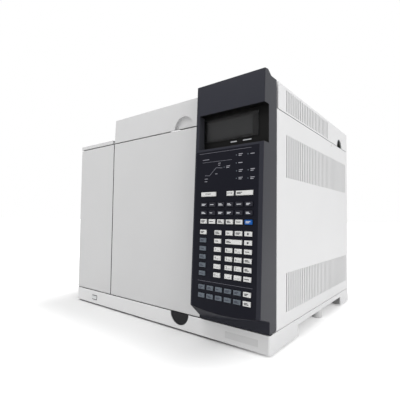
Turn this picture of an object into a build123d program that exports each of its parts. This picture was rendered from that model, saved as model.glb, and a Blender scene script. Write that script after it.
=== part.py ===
from build123d import *
import math
import os

# Bench-top gas chromatograph, modelled as the pieces it comes apart into.
#
# Frame: +Z up, -Y is the front (door and keypad), +X is the keypad's side.
# The origin is on the bench, at the middle of the whole instrument's footprint.
# All lengths are in millimetres.

# ---------------------------------------------------------------- driving dimensions
# Outer casing
WIDTH = 580.0  # base, side to side
BODY_DEPTH = 492.0  # door face to rear panel
KEYPAD_REACH = 32.0  # how far the keypad's lower edge stands in front of the door
FITTING_REACH = 18.0  # how far the gas fittings stand out behind
FOOT_HEIGHT = 4.0  # daylight under the base skirt
BASE_HEIGHT = 32.0  # skirt, from its lower edge to its top
DOOR_HEIGHT = 376.5
LID_HEIGHT = 58.0
DOOR_WIDTH = 282.5
CONSOLE_WIDTH = 145.0
LEFT_COVER_HEIGHT = 9.5
RIGHT_SEAM_RISE = 11.0  # side panel's top edge above the lid's lower edge
RIGHT_COVER_RISE = 3.0  # electronics cover's top above the lid's

# Gaps and walls
SKIN_INSET = 0.7  # side covers stand this far inside the base
COVER_WALL = 2.5  # moulded covers
SIDE_WALL = 3.0  # vented side panels
SHEET = 1.5  # chassis sheet metal
SEAM = 1.5  # shadow gap between covers
DOOR_GAP = 2.0  # above the door
PANEL_GAP = 2.5  # left panel to door
CONSOLE_GAP = 3.0  # door to console
SEAT = 0.3  # running or resting clearance between separate pieces
PIN_PLAY = 0.15  # radial play of a pin or shaft in its hole

# Base
BASE_WALL = 2.5
BASE_CORNER = 4.0
BASE_EDGE = 1.0
COVER_EDGE = 1.5
FLOOR_DROP = 10.5  # base floor's underside, below the skirt's top
FLOOR_SHEET = 2.5
SKIRT_FRONT = 122.5  # length of the full-height side skirt at the front
SKIRT_REAR = 77.0  # and at the rear
FOOT_RADIUS = 12.0
FOOT_INSET = 18.0  # foot centre, in from the side
FOOT_ROWS = (45.0, 283.0, 445.0)  # foot centres, back from the door face

# Side vents
SLOT_PITCH = 9.8
SLOT_WIDTH = 3.8
SLOT_START = 67.0  # first slot, back from the door face
SIDE_SLOTS = 42
COVER_SLOTS = 26
LOW_VENT_RISE = 24.5  # lower slots' bottom end, above the base
LOW_VENT_LENGTH = 71.0
HIGH_VENT_DROP = 39.0  # upper slots' top end, below the side panel's top edge
HIGH_VENT_LENGTH = 80.0
COVER_VENT_MARGIN = 3.0
COVER_SETBACK = 5.0  # open gap from the side panel's front edge to the electronics cover

# Finger holds
LID_SCOOP_RADIUS = 25.5
LID_SCOOP_DEPTH = 6.0
LID_SCOOP_INSET = 48.8  # centre, in from the lid's right edge
COVER_NOTCH_RADIUS = 21.0
COVER_NOTCH_BACK = 75.0  # centre, in front of the rear face

# Rear panel
INLET_SIZE = (48.0, 28.0)  # mains inlet's cut-out, across and up
SOCKET_SIZE = (34.0, 12.0)  # signal sockets' cut-outs
SOCKET_RISES = (110.0, 140.0, 170.0)  # their centres, above the base floor
PLUG_FLANGE = 3.0
GRILLE_SLOTS = 9

# Door and its hinge
DOOR_DEPTH = 20.0
DOOR_EDGE = 1.5
HINGE_IN = 9.0  # hinge axis, in from the door's left edge
HINGE_BACK = 7.0  # and behind its face
HINGE_PIN_RADIUS = 2.5
HINGE_PIN_LENGTH = 9.0
LINER_SHEET = 1.0
PLUG_DEPTH = 13.0
PLUG_GAP = 5.0
SEAL_WIDTH = 12.0
FRAME_BACK = 25.0  # oven front frame, behind the door face

# Lid and its hinge
LID_REACH = 290.0  # hinge axis behind the door face
LID_AXIS_DROP = 9.0
LID_LEAN = 3.0  # the lid's left wall leans in over its height
LID_TAIL = 2.0  # lid behind its axis
LID_TAIL_GAP = 8.0
LID_PIN_RADIUS = 2.5
EAR_RADIUS = 5.5
EAR_THICKNESS = 3.0

# Oven
CAVITY_WIDTH = 240.0
CAVITY_HEIGHT = 310.0
CAVITY_DEPTH = 210.0
CAVITY_RISE = 42.0  # insulation under the cavity
REAR_INSULATION = 24.0
SHROUD_GAP = 31.0  # shroud, in front of the cavity's rear wall
SHROUD_MARGIN = 8.0
SHROUD_INTAKE = 48.0
SHROUD_BARS = 3  # across each ring of the intake guard
FAN_RADIUS = 70.0
FAN_HUB = 11.0
FAN_BLADES = 12
FAN_DEPTH = 17.0
SHAFT_RADIUS = 4.0
SHAFT_HOLE = 7.0
MOTOR_RADIUS = 40.0
MOTOR_LENGTH = 66.0
HEATER_RADII = (82.0, 93.0)
HEATER_WIRE = 3.0
HEATER_POST = 8.5
HEATER_BACK = 15.5  # ceramic posts' length
POST_COUNT = 4

# Oven air ducts
DUCT_WIDTH = 60.0
DUCT_HEIGHT = 35.0
DUCT_CENTRE = 80.0  # each duct's centre, out from the oven's
DUCT_DROP = 32.5  # duct's centre, below the cavity's roof
DUCT_SHEET = 1.2
FLAP_BACK = 330.0
FLAP_SHAFT = 2.5
FLAP_SHEET = 1.5
FLAP_MOTOR_RADIUS = 17.0
FLAP_MOTOR_LENGTH = 27.0

# Column and its hanger
COIL_RADIUS = 88.0
COIL_SECTION = 7.0
TUBE_RADIUS = 1.2
CAGE_WIRE = 1.5
CAGE_WIDTH = 30.0
CAGE_RODS = 8
COLUMN_DROP = 22.0  # coil's middle, below the cavity's
HANGER_SPREAD = 30.0

# Inlets and detectors
PORT_ROWS = (95.0, 165.0)  # back from the door face
INLET_OUT = 74.0  # inlets' centre, left of the oven's
DETECTOR_OUT = 46.0  # detectors' centre, right of the oven's
PORT_RADIUS = 13.0
PORT_FLANGE = 19.0
PORT_RISE = 14.0  # inlet body above the deck
PORT_PLAY = 0.5
NUT_RADIUS = 14.0
NUT_HEIGHT = 19.0
INLET_BOSS = 9.0
ACCESS_RADIUS = 22.0  # hole in the lid over each inlet
COLUMN_NUT_RADIUS = 6.0
COLUMN_NUT_LENGTH = 13.0
PORT_DROP = 12.0  # port below the cavity's roof

# Console
HEAD_RISE = 10.2  # console's head above the lid
HEAD_LIP = 1.5  # head's highest line above its front edge
HEAD_FLAT = 10.5  # and behind it
HEAD_BACK = 23.0  # foot of the head's rear slope, behind its front edge
HEAD_SETBACK = 13.5  # the face leans back by this much from bottom to top
FACE_RISE = 29.5  # keypad face's datum line, above the console's lower edge
LIP_RISES = (33.5, 26.3, 33.5)  # face's curved lower edge at the left, middle and right
CHIN_RISES = (3.5, 10.8, 21.5)  # and the top of the upright chin below it
CONSOLE_EDGE = 1.0
NOTCH_DROP = 58.7  # display notch's upper edge, below the head's front edge
NOTCH_HEIGHT = 66.0
NOTCH_SHORT = 5.0  # notch's back wall, in front of the door face
NOTCH_MARGIN = 8.0  # wall left of the notch
LENS_THICKNESS = 1.5
LENS_WIDTH = 118.0
LENS_HEIGHT = 44.0
LENS_DROP = 6.0  # lens, below the notch's upper edge
LENS_RIM = 5.0
LENS_TAIL = 12.0  # blind strip at the lens's right end
MODULE_DEPTH = 9.0

# Keys
KEY_WIDTH = 13.9
KEY_HEIGHT = 7.9
KEY_COLUMN = 18.8
KEY_ROW = 14.85
KEY_LEFT = 26.1  # first column's centre, in from the console's left side
MODE_COLUMN = 32.6  # second column of the number block, from the first
KEY_PLAY = 0.5
KEY_PROUD = 2.2
KEY_COLLAR = 1.0
KEY_TRAVEL = 1.2
BOARD_DROP = 6.5  # key circuit board, behind the console's face
BOTTOM_ROW = 23.7  # rows' centres, up the face from its lower edge
NUMBER_ROW = 63.1
SHORTCUT_ROW = 156.8
STATUS_ROW = 172.3
RUN_ROW = 206.3

# Controls in the base
BUTTON_RADIUS = 24.0
BUTTON_INSET = 55.5  # centre, left of the console
BUTTON_DEPTH = 6.0
BUTTON_SINK = 1.0
BUTTON_TRAVEL = 5.0
BUTTON_PLAY = 0.6
SWITCH_WIDTH = 20.5
SWITCH_HEIGHT = 11.0
SWITCH_INSET = 80.5  # centre, in from the left side
SWITCH_RISE = 15.0  # centre, above the skirt's lower edge
SWITCH_TRAVEL = 2.5
SWITCH_DEPTH = 22.0
SWITCH_FLANGE = 2.0
SWITCH_PROUD = 1.0
BOLT_RADIUS = 2.0
STEM_RADIUS = 2.5
STEM_SPREAD = 12.0  # button stems, either side of its middle
GUIDE_SIDE = 6.0  # guide block beyond the stems

# Electronics and pneumatics
BOARD_OUT = 25.0
BOARD_SHEET = 1.6
CHIP_ROWS = (  # row's place up the board, as a share of it, then the chips' side and height
    (0.18, 14.0, 3.0),
    (0.42, 30.0, 5.0),
    (0.68, 20.0, 9.0),
    (0.88, 12.0, 12.0),
)
CHIPS_ACROSS = 5
SUPPLY_SIZE = (105.0, 210.0, 75.0)
SUPPLY_SLOTS = 16
COOLER_SIZE = 92.0
COOLER_DEPTH = 25.0
COOLER_RADIUS = 41.0
COOLER_HUB = 17.0
COOLER_RISE = 290.0  # fan's centre, above the floor
COOLER_BLADES = 7
BLADE_TILT = 40.0  # degrees
COOLER_ARMS = 4
MODULE_WIDTH = 34.0
MODULE_PITCH = 40.0
MODULE_HEIGHT = 40.0
MODULE_COUNT = 4
FITTING_RADIUS = 3.97  # 5/16-20 male thread of a 1/8 inch tube fitting
FITTING_HEX = 6.5
FITTING_HEX_LENGTH = 6.0
FITTING_SPREAD = 10.0
FITTING_RISE = 20.0
TOROID_RADIUS = 58.0
TOROID_HOLE = 16.0
TOROID_HEIGHT = 55.0
SCREW_HEAD = 3.6
SCREW_BACK = 345.0  # side screw, behind the door face
SCREW_RISE = 0.6  # head's height
SCREW_SHANK = 1.6

# ---------------------------------------------------------------- derived places
BASE_TOP = FOOT_HEIGHT + BASE_HEIGHT
DOOR_BOTTOM = BASE_TOP + SEAM
DOOR_TOP = DOOR_BOTTOM + DOOR_HEIGHT
LID_BOTTOM = DOOR_TOP + DOOR_GAP
LID_TOP = LID_BOTTOM + LID_HEIGHT
FACE_BOTTOM = DOOR_BOTTOM + FACE_RISE
HEAD_EDGE = LID_TOP + HEAD_RISE - HEAD_LIP
FACE_LEAN = math.atan2(HEAD_SETBACK, HEAD_EDGE - FACE_BOTTOM)
LOWEST_KEY = BOTTOM_ROW - KEY_HEIGHT / 2 + KEY_PLAY  # up the face, where the cap's front starts
KEY_REACH = (
    KEYPAD_REACH + KEY_PROUD * math.cos(FACE_LEAN) - LOWEST_KEY * math.sin(FACE_LEAN)
)  # foremost key, in front of the door
FRONT = -(BODY_DEPTH + FITTING_REACH - KEY_REACH) / 2  # door face
BACK = FRONT + BODY_DEPTH
REAR_IN = BACK - BASE_WALL  # rear panel's inner face
BASE_X = WIDTH / 2
SKIN_X = BASE_X - SKIN_INSET
FLOOR_UNDER = BASE_TOP - FLOOR_DROP
FLOOR_TOP = FLOOR_UNDER + FLOOR_SHEET
DECK_TOP = LID_BOTTOM - SEAT
DECK_UNDER = DECK_TOP - SHEET
LEFT_TOP = LID_BOTTOM + LEFT_COVER_HEIGHT
SIDE_TOP = LID_BOTTOM + RIGHT_SEAM_RISE - SEAM
RIGHT_SEAM = SIDE_TOP + SEAM
RIGHT_TOP = LID_TOP + RIGHT_COVER_RISE

CONSOLE_LEFT = SKIN_X - CONSOLE_WIDTH
DOOR_RIGHT = CONSOLE_LEFT - CONSOLE_GAP
DOOR_LEFT = DOOR_RIGHT - DOOR_WIDTH
LID_LEFT = DOOR_LEFT + SEAT
LID_RIGHT = CONSOLE_LEFT - PANEL_GAP
LEFT_PANEL_RIGHT = DOOR_LEFT - PANEL_GAP
BAY_LEFT = LEFT_PANEL_RIGHT
BAY_RIGHT = CONSOLE_LEFT
OVEN_X = (BAY_LEFT + BAY_RIGHT) / 2

FRAME_Y = FRONT + FRAME_BACK
CAVITY_FRONT = FRAME_Y + SHEET
CAVITY_BACK = CAVITY_FRONT + CAVITY_DEPTH
CAVITY_BOTTOM = FLOOR_TOP + CAVITY_RISE
CAVITY_TOP = CAVITY_BOTTOM + CAVITY_HEIGHT
OVEN_Z = (CAVITY_BOTTOM + CAVITY_TOP) / 2
INSULATION_BACK = CAVITY_BACK + SHEET + REAR_INSULATION
REAR_PLATE_BACK = INSULATION_BACK + SHEET
SHROUD_Y = CAVITY_BACK - SHROUD_GAP
COVER_Y = FRAME_Y + SEAM  # front edge of the right-hand covers
LID_AXIS_Y = FRONT + LID_REACH
LID_AXIS_Z = LID_TOP - LID_AXIS_DROP
REAR_COVER_Y = LID_AXIS_Y + LID_TAIL + LID_TAIL_GAP
HINGE_X = DOOR_LEFT + HINGE_IN
HINGE_Y = FRONT + HINGE_BACK
DUCT_Z = CAVITY_TOP - DUCT_DROP
FLAP_Y = FRONT + FLAP_BACK
BUTTON_X = CONSOLE_LEFT - BUTTON_INSET
SWITCH_X = -BASE_X + SWITCH_INSET
SWITCH_Z = FOOT_HEIGHT + SWITCH_RISE

os.makedirs("parts", exist_ok=True)


# ---------------------------------------------------------------- helpers
def block(x, y, z, mode=Mode.ADD):
    """Box between (low, high) pairs, in the part being built."""
    with Locations([(sum(x) / 2, sum(y) / 2, sum(z) / 2)]):
        Box(x[1] - x[0], y[1] - y[0], z[1] - z[0], mode=mode)


def rod(axis, centre, span, radius, mode=Mode.ADD):
    """Round rod along X, Y or Z between the span's two ends, about a centre in the other two directions."""
    middle = sum(span) / 2
    turn = {"X": (0, 90, 0), "Y": (90, 0, 0), "Z": (0, 0, 0)}[axis]
    place = {
        "X": (middle, centre[0], centre[1]),
        "Y": (centre[0], middle, centre[1]),
        "Z": (centre[0], centre[1], middle),
    }[axis]
    with Locations([place]):
        Cylinder(radius, span[1] - span[0], rotation=turn, mode=mode)


def pan(x, y, z, wall, opening):
    """Thin-walled box, open on one side, named as in "-z" or "+y"."""
    block(x, y, z)
    inner = {name: [span[0] + wall, span[1] - wall] for name, span in (("x", x), ("y", y), ("z", z))}
    if opening[0] == "-":
        inner[opening[1]][0] -= wall
    else:
        inner[opening[1]][1] += wall
    block(inner["x"], inner["y"], inner["z"], mode=Mode.SUBTRACT)


def write(built, name):
    """Labels a finished piece and writes its STEP file."""
    built.part.label = name
    export_step(built.part, f"parts/{name}.step")


# ---------------------------------------------------------------- base
with BuildPart() as base_chassis:
    with BuildSketch(Plane.XY.offset(FOOT_HEIGHT)):
        with Locations((0, (FRONT + BACK) / 2)):
            RectangleRounded(WIDTH, BODY_DEPTH, BASE_CORNER)
    extrude(amount=BASE_HEIGHT)
    fillet(base_chassis.faces().sort_by(Axis.Z)[-1].edges(), BASE_EDGE)
    inner_x = (-BASE_X + BASE_WALL, BASE_X - BASE_WALL)
    inner_y = (FRONT + BASE_WALL, BACK - BASE_WALL)
    block(inner_x, inner_y, (FLOOR_TOP, BASE_TOP), mode=Mode.SUBTRACT)
    block(inner_x, inner_y, (FOOT_HEIGHT, FLOOR_UNDER), mode=Mode.SUBTRACT)
    # the side skirts stop short of the floor line between the front and rear legs
    block(
        (-BASE_X, BASE_X),
        (FRONT + SKIRT_FRONT, BACK - SKIRT_REAR),
        (FOOT_HEIGHT, FLOOR_UNDER),
        mode=Mode.SUBTRACT,
    )
    # half-round opening for the door button, and the switch's window
    rod(
        "Y",
        (BUTTON_X, BASE_TOP),
        (FRONT, FRAME_Y),
        BUTTON_RADIUS + BUTTON_PLAY,
        mode=Mode.SUBTRACT,
    )
    block(
        (SWITCH_X - SWITCH_WIDTH / 2 - BUTTON_PLAY, SWITCH_X + SWITCH_WIDTH / 2 + BUTTON_PLAY),
        (FRONT, FRONT + BASE_WALL),
        (SWITCH_Z - SWITCH_HEIGHT / 2 - BUTTON_PLAY, SWITCH_Z + SWITCH_HEIGHT / 2 + BUTTON_PLAY),
        mode=Mode.SUBTRACT,
    )
write(base_chassis, "base_chassis")

FOOT_PLACES = [(side * (BASE_X - FOOT_INSET), FRONT + row) for side in (-1, 1) for row in FOOT_ROWS]
with BuildPart() as feet:
    with BuildSketch(Plane.XY):
        with Locations(FOOT_PLACES):
            Circle(FOOT_RADIUS)
    extrude(amount=FLOOR_UNDER)
    chamfer(feet.edges().group_by(Axis.Z)[0], FOOT_HEIGHT / 4)
write(feet, "feet")

# ---------------------------------------------------------------- chassis
PORT_XS = (OVEN_X - INLET_OUT, OVEN_X + DETECTOR_OUT)
PORT_PLACES = [(x, FRONT + row) for x in PORT_XS for row in PORT_ROWS]
DUCT_XS = (OVEN_X - DUCT_CENTRE, OVEN_X + DUCT_CENTRE)
DUCT_OUT_X = DUCT_WIDTH / 2 + DUCT_SHEET
DUCT_OUT_Z = DUCT_HEIGHT / 2 + DUCT_SHEET
TAB_X = (HINGE_X - 2 * HINGE_PIN_RADIUS, HINGE_X + 3 * HINGE_PIN_RADIUS)
LOW_TAB = (DOOR_BOTTOM - SEAT - SHEET, DOOR_BOTTOM - SEAT)
EAR_LEFT = LID_LEFT + LID_LEAN + COVER_WALL + SEAT
EAR_RIGHT = LID_RIGHT - COVER_WALL - SEAT - EAR_THICKNESS

with BuildPart() as inner_frame:
    block((BAY_LEFT - SHEET, BAY_LEFT), (FRAME_Y, REAR_IN), (FLOOR_TOP, DECK_UNDER))
    block((BAY_RIGHT, BAY_RIGHT + SHEET), (FRAME_Y, REAR_IN), (FLOOR_TOP, RIGHT_SEAM))
    block((BAY_LEFT, BAY_RIGHT), (FRAME_Y, CAVITY_FRONT), (FLOOR_TOP, DECK_UNDER))
    block((BAY_LEFT, BAY_RIGHT), (INSULATION_BACK, REAR_PLATE_BACK), (FLOOR_TOP, DECK_UNDER))
    block((-SKIN_X + SIDE_WALL, BAY_RIGHT), (FRAME_Y, REAR_IN), (DECK_UNDER, DECK_TOP))
    # tabs that carry the door's two hinge pins
    block(TAB_X, (FRONT + COVER_WALL + SEAT, FRAME_Y), (DECK_UNDER, DECK_TOP))
    block(TAB_X, (FRONT + COVER_WALL + SEAT, CAVITY_FRONT), LOW_TAB)
    # ears that carry the lid's two hinge pins
    for ear in (EAR_LEFT, EAR_RIGHT):
        block(
            (ear, ear + EAR_THICKNESS),
            (LID_AXIS_Y - EAR_RADIUS, LID_AXIS_Y + EAR_RADIUS),
            (DECK_TOP, LID_AXIS_Z),
        )
        rod("X", (LID_AXIS_Y, LID_AXIS_Z), (ear, ear + EAR_THICKNESS), EAR_RADIUS)
    # mouth of the oven, holes for the shaft, the ducts and the four ports
    cavity_x = (OVEN_X - CAVITY_WIDTH / 2, OVEN_X + CAVITY_WIDTH / 2)
    block(cavity_x, (FRAME_Y, CAVITY_FRONT), (CAVITY_BOTTOM, CAVITY_TOP), mode=Mode.SUBTRACT)
    rod("Y", (OVEN_X, OVEN_Z), (INSULATION_BACK, REAR_PLATE_BACK), SHAFT_HOLE, mode=Mode.SUBTRACT)
    for duct in DUCT_XS:
        block(
            (duct - DUCT_OUT_X, duct + DUCT_OUT_X),
            (INSULATION_BACK, REAR_PLATE_BACK),
            (DUCT_Z - DUCT_OUT_Z, DUCT_Z + DUCT_OUT_Z),
            mode=Mode.SUBTRACT,
        )
    for px, py in PORT_PLACES:
        rod("Z", (px, py), (DECK_UNDER, DECK_TOP), PORT_RADIUS + PORT_PLAY, mode=Mode.SUBTRACT)
write(inner_frame, "inner_frame")

with BuildPart() as hinge_pins:
    rod("Z", (HINGE_X, HINGE_Y), (LOW_TAB[1], LOW_TAB[1] + HINGE_PIN_LENGTH), HINGE_PIN_RADIUS)
    rod("Z", (HINGE_X, HINGE_Y), (DECK_UNDER - HINGE_PIN_LENGTH, DECK_UNDER), HINGE_PIN_RADIUS)
    lid_axis = (LID_AXIS_Y, LID_AXIS_Z)
    rod("X", lid_axis, (EAR_LEFT - COVER_WALL, EAR_LEFT), LID_PIN_RADIUS)
    rod("X", lid_axis, (EAR_RIGHT + EAR_THICKNESS, LID_RIGHT - SEAT), LID_PIN_RADIUS)
write(hinge_pins, "hinge_pins")

# ---------------------------------------------------------------- casing
LEFT_X = (-SKIN_X, -SKIN_X + SIDE_WALL)
RIGHT_X = (SKIN_X - SIDE_WALL, SKIN_X)
LEFT_SCREW = (FRONT + SCREW_BACK, LID_BOTTOM - SEAM - 2 * SCREW_HEAD)
RIGHT_SCREW = (FRONT + SCREW_BACK, SIDE_TOP - 2 * SCREW_HEAD)
REAR_SCREWS = [
    (side * (RIGHT_X[0] - 3 * SCREW_HEAD), z)
    for side in (-1, 1)
    for z in (DOOR_BOTTOM + 3 * SCREW_HEAD, OVEN_Z, DECK_TOP - 3 * SCREW_HEAD)
]

with BuildPart() as left_front_panel:
    pan((-SKIN_X, LEFT_PANEL_RIGHT), (FRONT, FRAME_Y), (DOOR_BOTTOM, DOOR_TOP), COVER_WALL, "+y")
    fillet(left_front_panel.faces().sort_by(Axis.Y)[0].edges(), DOOR_EDGE)
write(left_front_panel, "left_front_panel")

with BuildPart() as left_side_panel:
    block(LEFT_X, (FRAME_Y + SEAM, BACK), (DOOR_BOTTOM, LID_BOTTOM - SEAM))
    block(
        (-BASE_X + BASE_WALL + SEAT, LEFT_X[1]),
        (FRAME_Y + SEAM, REAR_IN - SEAT),
        (FLOOR_TOP, DOOR_BOTTOM),
    )
    rod("X", LEFT_SCREW, LEFT_X, SCREW_SHANK + PIN_PLAY, mode=Mode.SUBTRACT)
write(left_side_panel, "left_side_panel")

LEFT_COVER_RIGHT = LID_LEFT - HINGE_IN + SEAM
with BuildPart() as left_top_cover:
    left_cover_x = (-SKIN_X, LEFT_COVER_RIGHT)
    pan(left_cover_x, (FRONT, BACK), (DECK_TOP, LEFT_TOP), COVER_WALL, "-z")
    fillet(left_top_cover.faces().sort_by(Axis.Z)[-1].edges(), COVER_EDGE)
    block(left_cover_x, (FRONT, BACK), (DECK_TOP, LID_BOTTOM), mode=Mode.SUBTRACT)
    block(
        (-SKIN_X + SIDE_WALL, LEFT_COVER_RIGHT),
        (FRAME_Y, FRAME_Y + COVER_WALL),
        (DECK_TOP, LEFT_TOP - COVER_WALL),
    )
    block(
        (-SKIN_X + SIDE_WALL, LEFT_COVER_RIGHT),
        (REAR_IN - COVER_WALL, REAR_IN),
        (DECK_TOP, LEFT_TOP - COVER_WALL),
    )
write(left_top_cover, "left_top_cover")

side_slot_rows = [FRONT + SLOT_START + SLOT_PITCH * i for i in range(SIDE_SLOTS)]
with BuildPart() as right_side_panel:
    block(RIGHT_X, (COVER_Y, BACK), (DOOR_BOTTOM, SIDE_TOP))
    block(
        (RIGHT_X[0], BASE_X - BASE_WALL - SEAT),
        (COVER_Y, REAR_IN - SEAT),
        (FLOOR_TOP, DOOR_BOTTOM),
    )
    for low, long in (
        (BASE_TOP + LOW_VENT_RISE, LOW_VENT_LENGTH),
        (SIDE_TOP - HIGH_VENT_DROP - HIGH_VENT_LENGTH, HIGH_VENT_LENGTH),
    ):
        for row in side_slot_rows:
            block(RIGHT_X, (row, row + SLOT_WIDTH), (low, low + long), mode=Mode.SUBTRACT)
    rod("X", RIGHT_SCREW, RIGHT_X, SCREW_SHANK + PIN_PLAY, mode=Mode.SUBTRACT)
write(right_side_panel, "right_side_panel")

with BuildPart() as electronics_cover:
    pan(
        (BAY_RIGHT, SKIN_X),
        (COVER_Y + COVER_SETBACK, BACK),
        (RIGHT_SEAM, RIGHT_TOP),
        COVER_WALL,
        "-z",
    )
    fillet(electronics_cover.faces().sort_by(Axis.Z)[-1].edges(), COVER_EDGE)
    for row in side_slot_rows[:COVER_SLOTS]:
        block(
            (SKIN_X - COVER_WALL, SKIN_X),
            (row, row + SLOT_WIDTH),
            (RIGHT_SEAM + COVER_VENT_MARGIN, RIGHT_TOP - 2 * COVER_VENT_MARGIN),
            mode=Mode.SUBTRACT,
        )
    rod(
        "X",
        (BACK - COVER_NOTCH_BACK, RIGHT_SEAM),
        (SKIN_X - COVER_WALL, SKIN_X),
        COVER_NOTCH_RADIUS,
        mode=Mode.SUBTRACT,
    )
write(electronics_cover, "electronics_cover")

# ---------------------------------------------------------------- rear
GRILLE_X = (BAY_RIGHT + RIGHT_X[0]) / 2
GRILLE_Z = FLOOR_TOP + COOLER_RISE
INLET_Z = FLOOR_TOP + 2 * INLET_SIZE[1]

with BuildPart() as rear_panel:
    block((LEFT_X[1], RIGHT_X[0]), (REAR_IN, BACK), (DOOR_BOTTOM, DECK_TOP))
    for duct in DUCT_XS:
        block(
            (duct - DUCT_OUT_X - SEAT, duct + DUCT_OUT_X + SEAT),
            (REAR_IN, BACK),
            (DUCT_Z - DUCT_OUT_Z - SEAT, DUCT_Z + DUCT_OUT_Z + SEAT),
            mode=Mode.SUBTRACT,
        )
    for i in range(GRILLE_SLOTS):
        slot_x = GRILLE_X + (i - (GRILLE_SLOTS - 1) / 2) * 2 * SLOT_WIDTH
        half = math.sqrt(COOLER_RADIUS**2 - (slot_x - GRILLE_X) ** 2)
        block(
            (slot_x - SLOT_WIDTH / 2, slot_x + SLOT_WIDTH / 2),
            (REAR_IN, BACK),
            (GRILLE_Z - half, GRILLE_Z + half),
            mode=Mode.SUBTRACT,
        )
    with Locations([(GRILLE_X, (REAR_IN + BACK) / 2, INLET_Z)]):
        Box(INLET_SIZE[0], BASE_WALL, INLET_SIZE[1], mode=Mode.SUBTRACT)
    with Locations([(GRILLE_X, (REAR_IN + BACK) / 2, FLOOR_TOP + rise) for rise in SOCKET_RISES]):
        Box(SOCKET_SIZE[0], BASE_WALL, SOCKET_SIZE[1], mode=Mode.SUBTRACT)
    for place in REAR_SCREWS:
        rod("Y", place, (REAR_IN, BACK), SCREW_SHANK + PIN_PLAY, mode=Mode.SUBTRACT)
write(rear_panel, "rear_panel")

with BuildPart() as power_inlet:
    with Locations([(GRILLE_X, BACK + PLUG_FLANGE / 4, INLET_Z)]):
        Box(INLET_SIZE[0] + 2 * PLUG_FLANGE, PLUG_FLANGE / 2, INLET_SIZE[1] + 2 * PLUG_FLANGE)
    inlet_body = (GRILLE_X - INLET_SIZE[0] / 2 + SEAT, GRILLE_X + INLET_SIZE[0] / 2 - SEAT)
    inlet_rise = (INLET_Z - INLET_SIZE[1] / 2 + SEAT, INLET_Z + INLET_SIZE[1] / 2 - SEAT)
    block(inlet_body, (BACK - INLET_SIZE[1], BACK), inlet_rise)
    block(
        (inlet_body[0] + 2 * PLUG_FLANGE, inlet_body[1] - 2 * PLUG_FLANGE),
        (BACK - INLET_SIZE[1] / 2, BACK + PLUG_FLANGE / 2),
        (inlet_rise[0] + PLUG_FLANGE, inlet_rise[1] - PLUG_FLANGE),
        mode=Mode.SUBTRACT,
    )
    for blade in (-1, 0, 1):
        blade_x = GRILLE_X + 3 * blade * PLUG_FLANGE
        blade_z = INLET_Z + (1 - 2 * abs(blade)) * PLUG_FLANGE
        block(
            (blade_x - SHEET / 2, blade_x + SHEET / 2),
            (BACK - INLET_SIZE[1] / 2, BACK - PLUG_FLANGE / 2),
            (blade_z - PLUG_FLANGE, blade_z + PLUG_FLANGE),
        )
write(power_inlet, "power_inlet")

with BuildPart() as signal_sockets:
    for rise in SOCKET_RISES:
        socket_z = FLOOR_TOP + rise
        half_x = SOCKET_SIZE[0] / 2 - SEAT
        half_z = SOCKET_SIZE[1] / 2 - SEAT
        block(
            (GRILLE_X - half_x, GRILLE_X + half_x),
            (REAR_IN - SOCKET_SIZE[1], BACK + SHEET),
            (socket_z - half_z, socket_z + half_z),
        )
        block(
            (GRILLE_X - half_x - PLUG_FLANGE, GRILLE_X + half_x + PLUG_FLANGE),
            (REAR_IN - SHEET, REAR_IN),
            (socket_z - half_z - PLUG_FLANGE, socket_z + half_z + PLUG_FLANGE),
        )
        block(
            (GRILLE_X - half_x + SHEET, GRILLE_X + half_x - SHEET),
            (BACK - SHEET, BACK + SHEET),
            (socket_z - half_z + SHEET, socket_z + half_z - SHEET),
            mode=Mode.SUBTRACT,
        )
write(signal_sockets, "signal_sockets")

# cooling fan behind the electronics grille
with BuildPart() as cooling_fan_frame:
    cooler_y = (REAR_IN - COOLER_DEPTH, REAR_IN)
    with Locations([(GRILLE_X, sum(cooler_y) / 2, GRILLE_Z)]):
        Box(COOLER_SIZE, COOLER_DEPTH, COOLER_SIZE)
    fillet(cooling_fan_frame.edges().filter_by(Axis.Y), BASE_CORNER)
    rod("Y", (GRILLE_X, GRILLE_Z), cooler_y, COOLER_RADIUS + SEAM, mode=Mode.SUBTRACT)
    rod("Y", (GRILLE_X, GRILLE_Z), (cooler_y[0], cooler_y[0] + SHEET), COOLER_HUB)
    rod("Y", (GRILLE_X, GRILLE_Z), (cooler_y[0], cooler_y[1] - BASE_CORNER), SHAFT_RADIUS)
    for turn in range(COOLER_ARMS // 2):
        arm_turn = 360 / COOLER_ARMS * (turn + 0.5)
        with Locations(Pos(GRILLE_X, cooler_y[0] + SHEET / 2, GRILLE_Z) * Rot(0, arm_turn, 0)):
            Box(2 * COOLER_RADIUS + 2 * BASE_CORNER, SHEET, BASE_CORNER)
write(cooling_fan_frame, "cooling_fan_frame")

with BuildPart() as cooling_fan_rotor:
    rotor_y = (cooler_y[0] + 2 * SHEET, cooler_y[1] - BASE_CORNER)
    rod("Y", (GRILLE_X, GRILLE_Z), rotor_y, COOLER_HUB)
    for blade in range(COOLER_BLADES):
        with Locations(
            Pos(GRILLE_X, sum(rotor_y) / 2, GRILLE_Z)
            * Rot(0, 360 / COOLER_BLADES * blade, 0)
            * Pos((COOLER_HUB + COOLER_RADIUS) / 2 - SHEET, 0, 0)
            * Rot(BLADE_TILT, 0, 0)
        ):
            Box(COOLER_RADIUS - COOLER_HUB, (rotor_y[1] - rotor_y[0]), SHEET)
    rod("Y", (GRILLE_X, GRILLE_Z), rotor_y, SHAFT_RADIUS + PIN_PLAY, mode=Mode.SUBTRACT)
write(cooling_fan_rotor, "cooling_fan_rotor")

# ---------------------------------------------------------------- door and its latch
BOLT_Y = FRONT + DOOR_DEPTH - 2 * BOLT_RADIUS + SEAM
BOLT_TOP = DOOR_BOTTOM - SEAT  # rests under its hole in the door
DOOR_BACK = FRONT + DOOR_DEPTH

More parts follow.
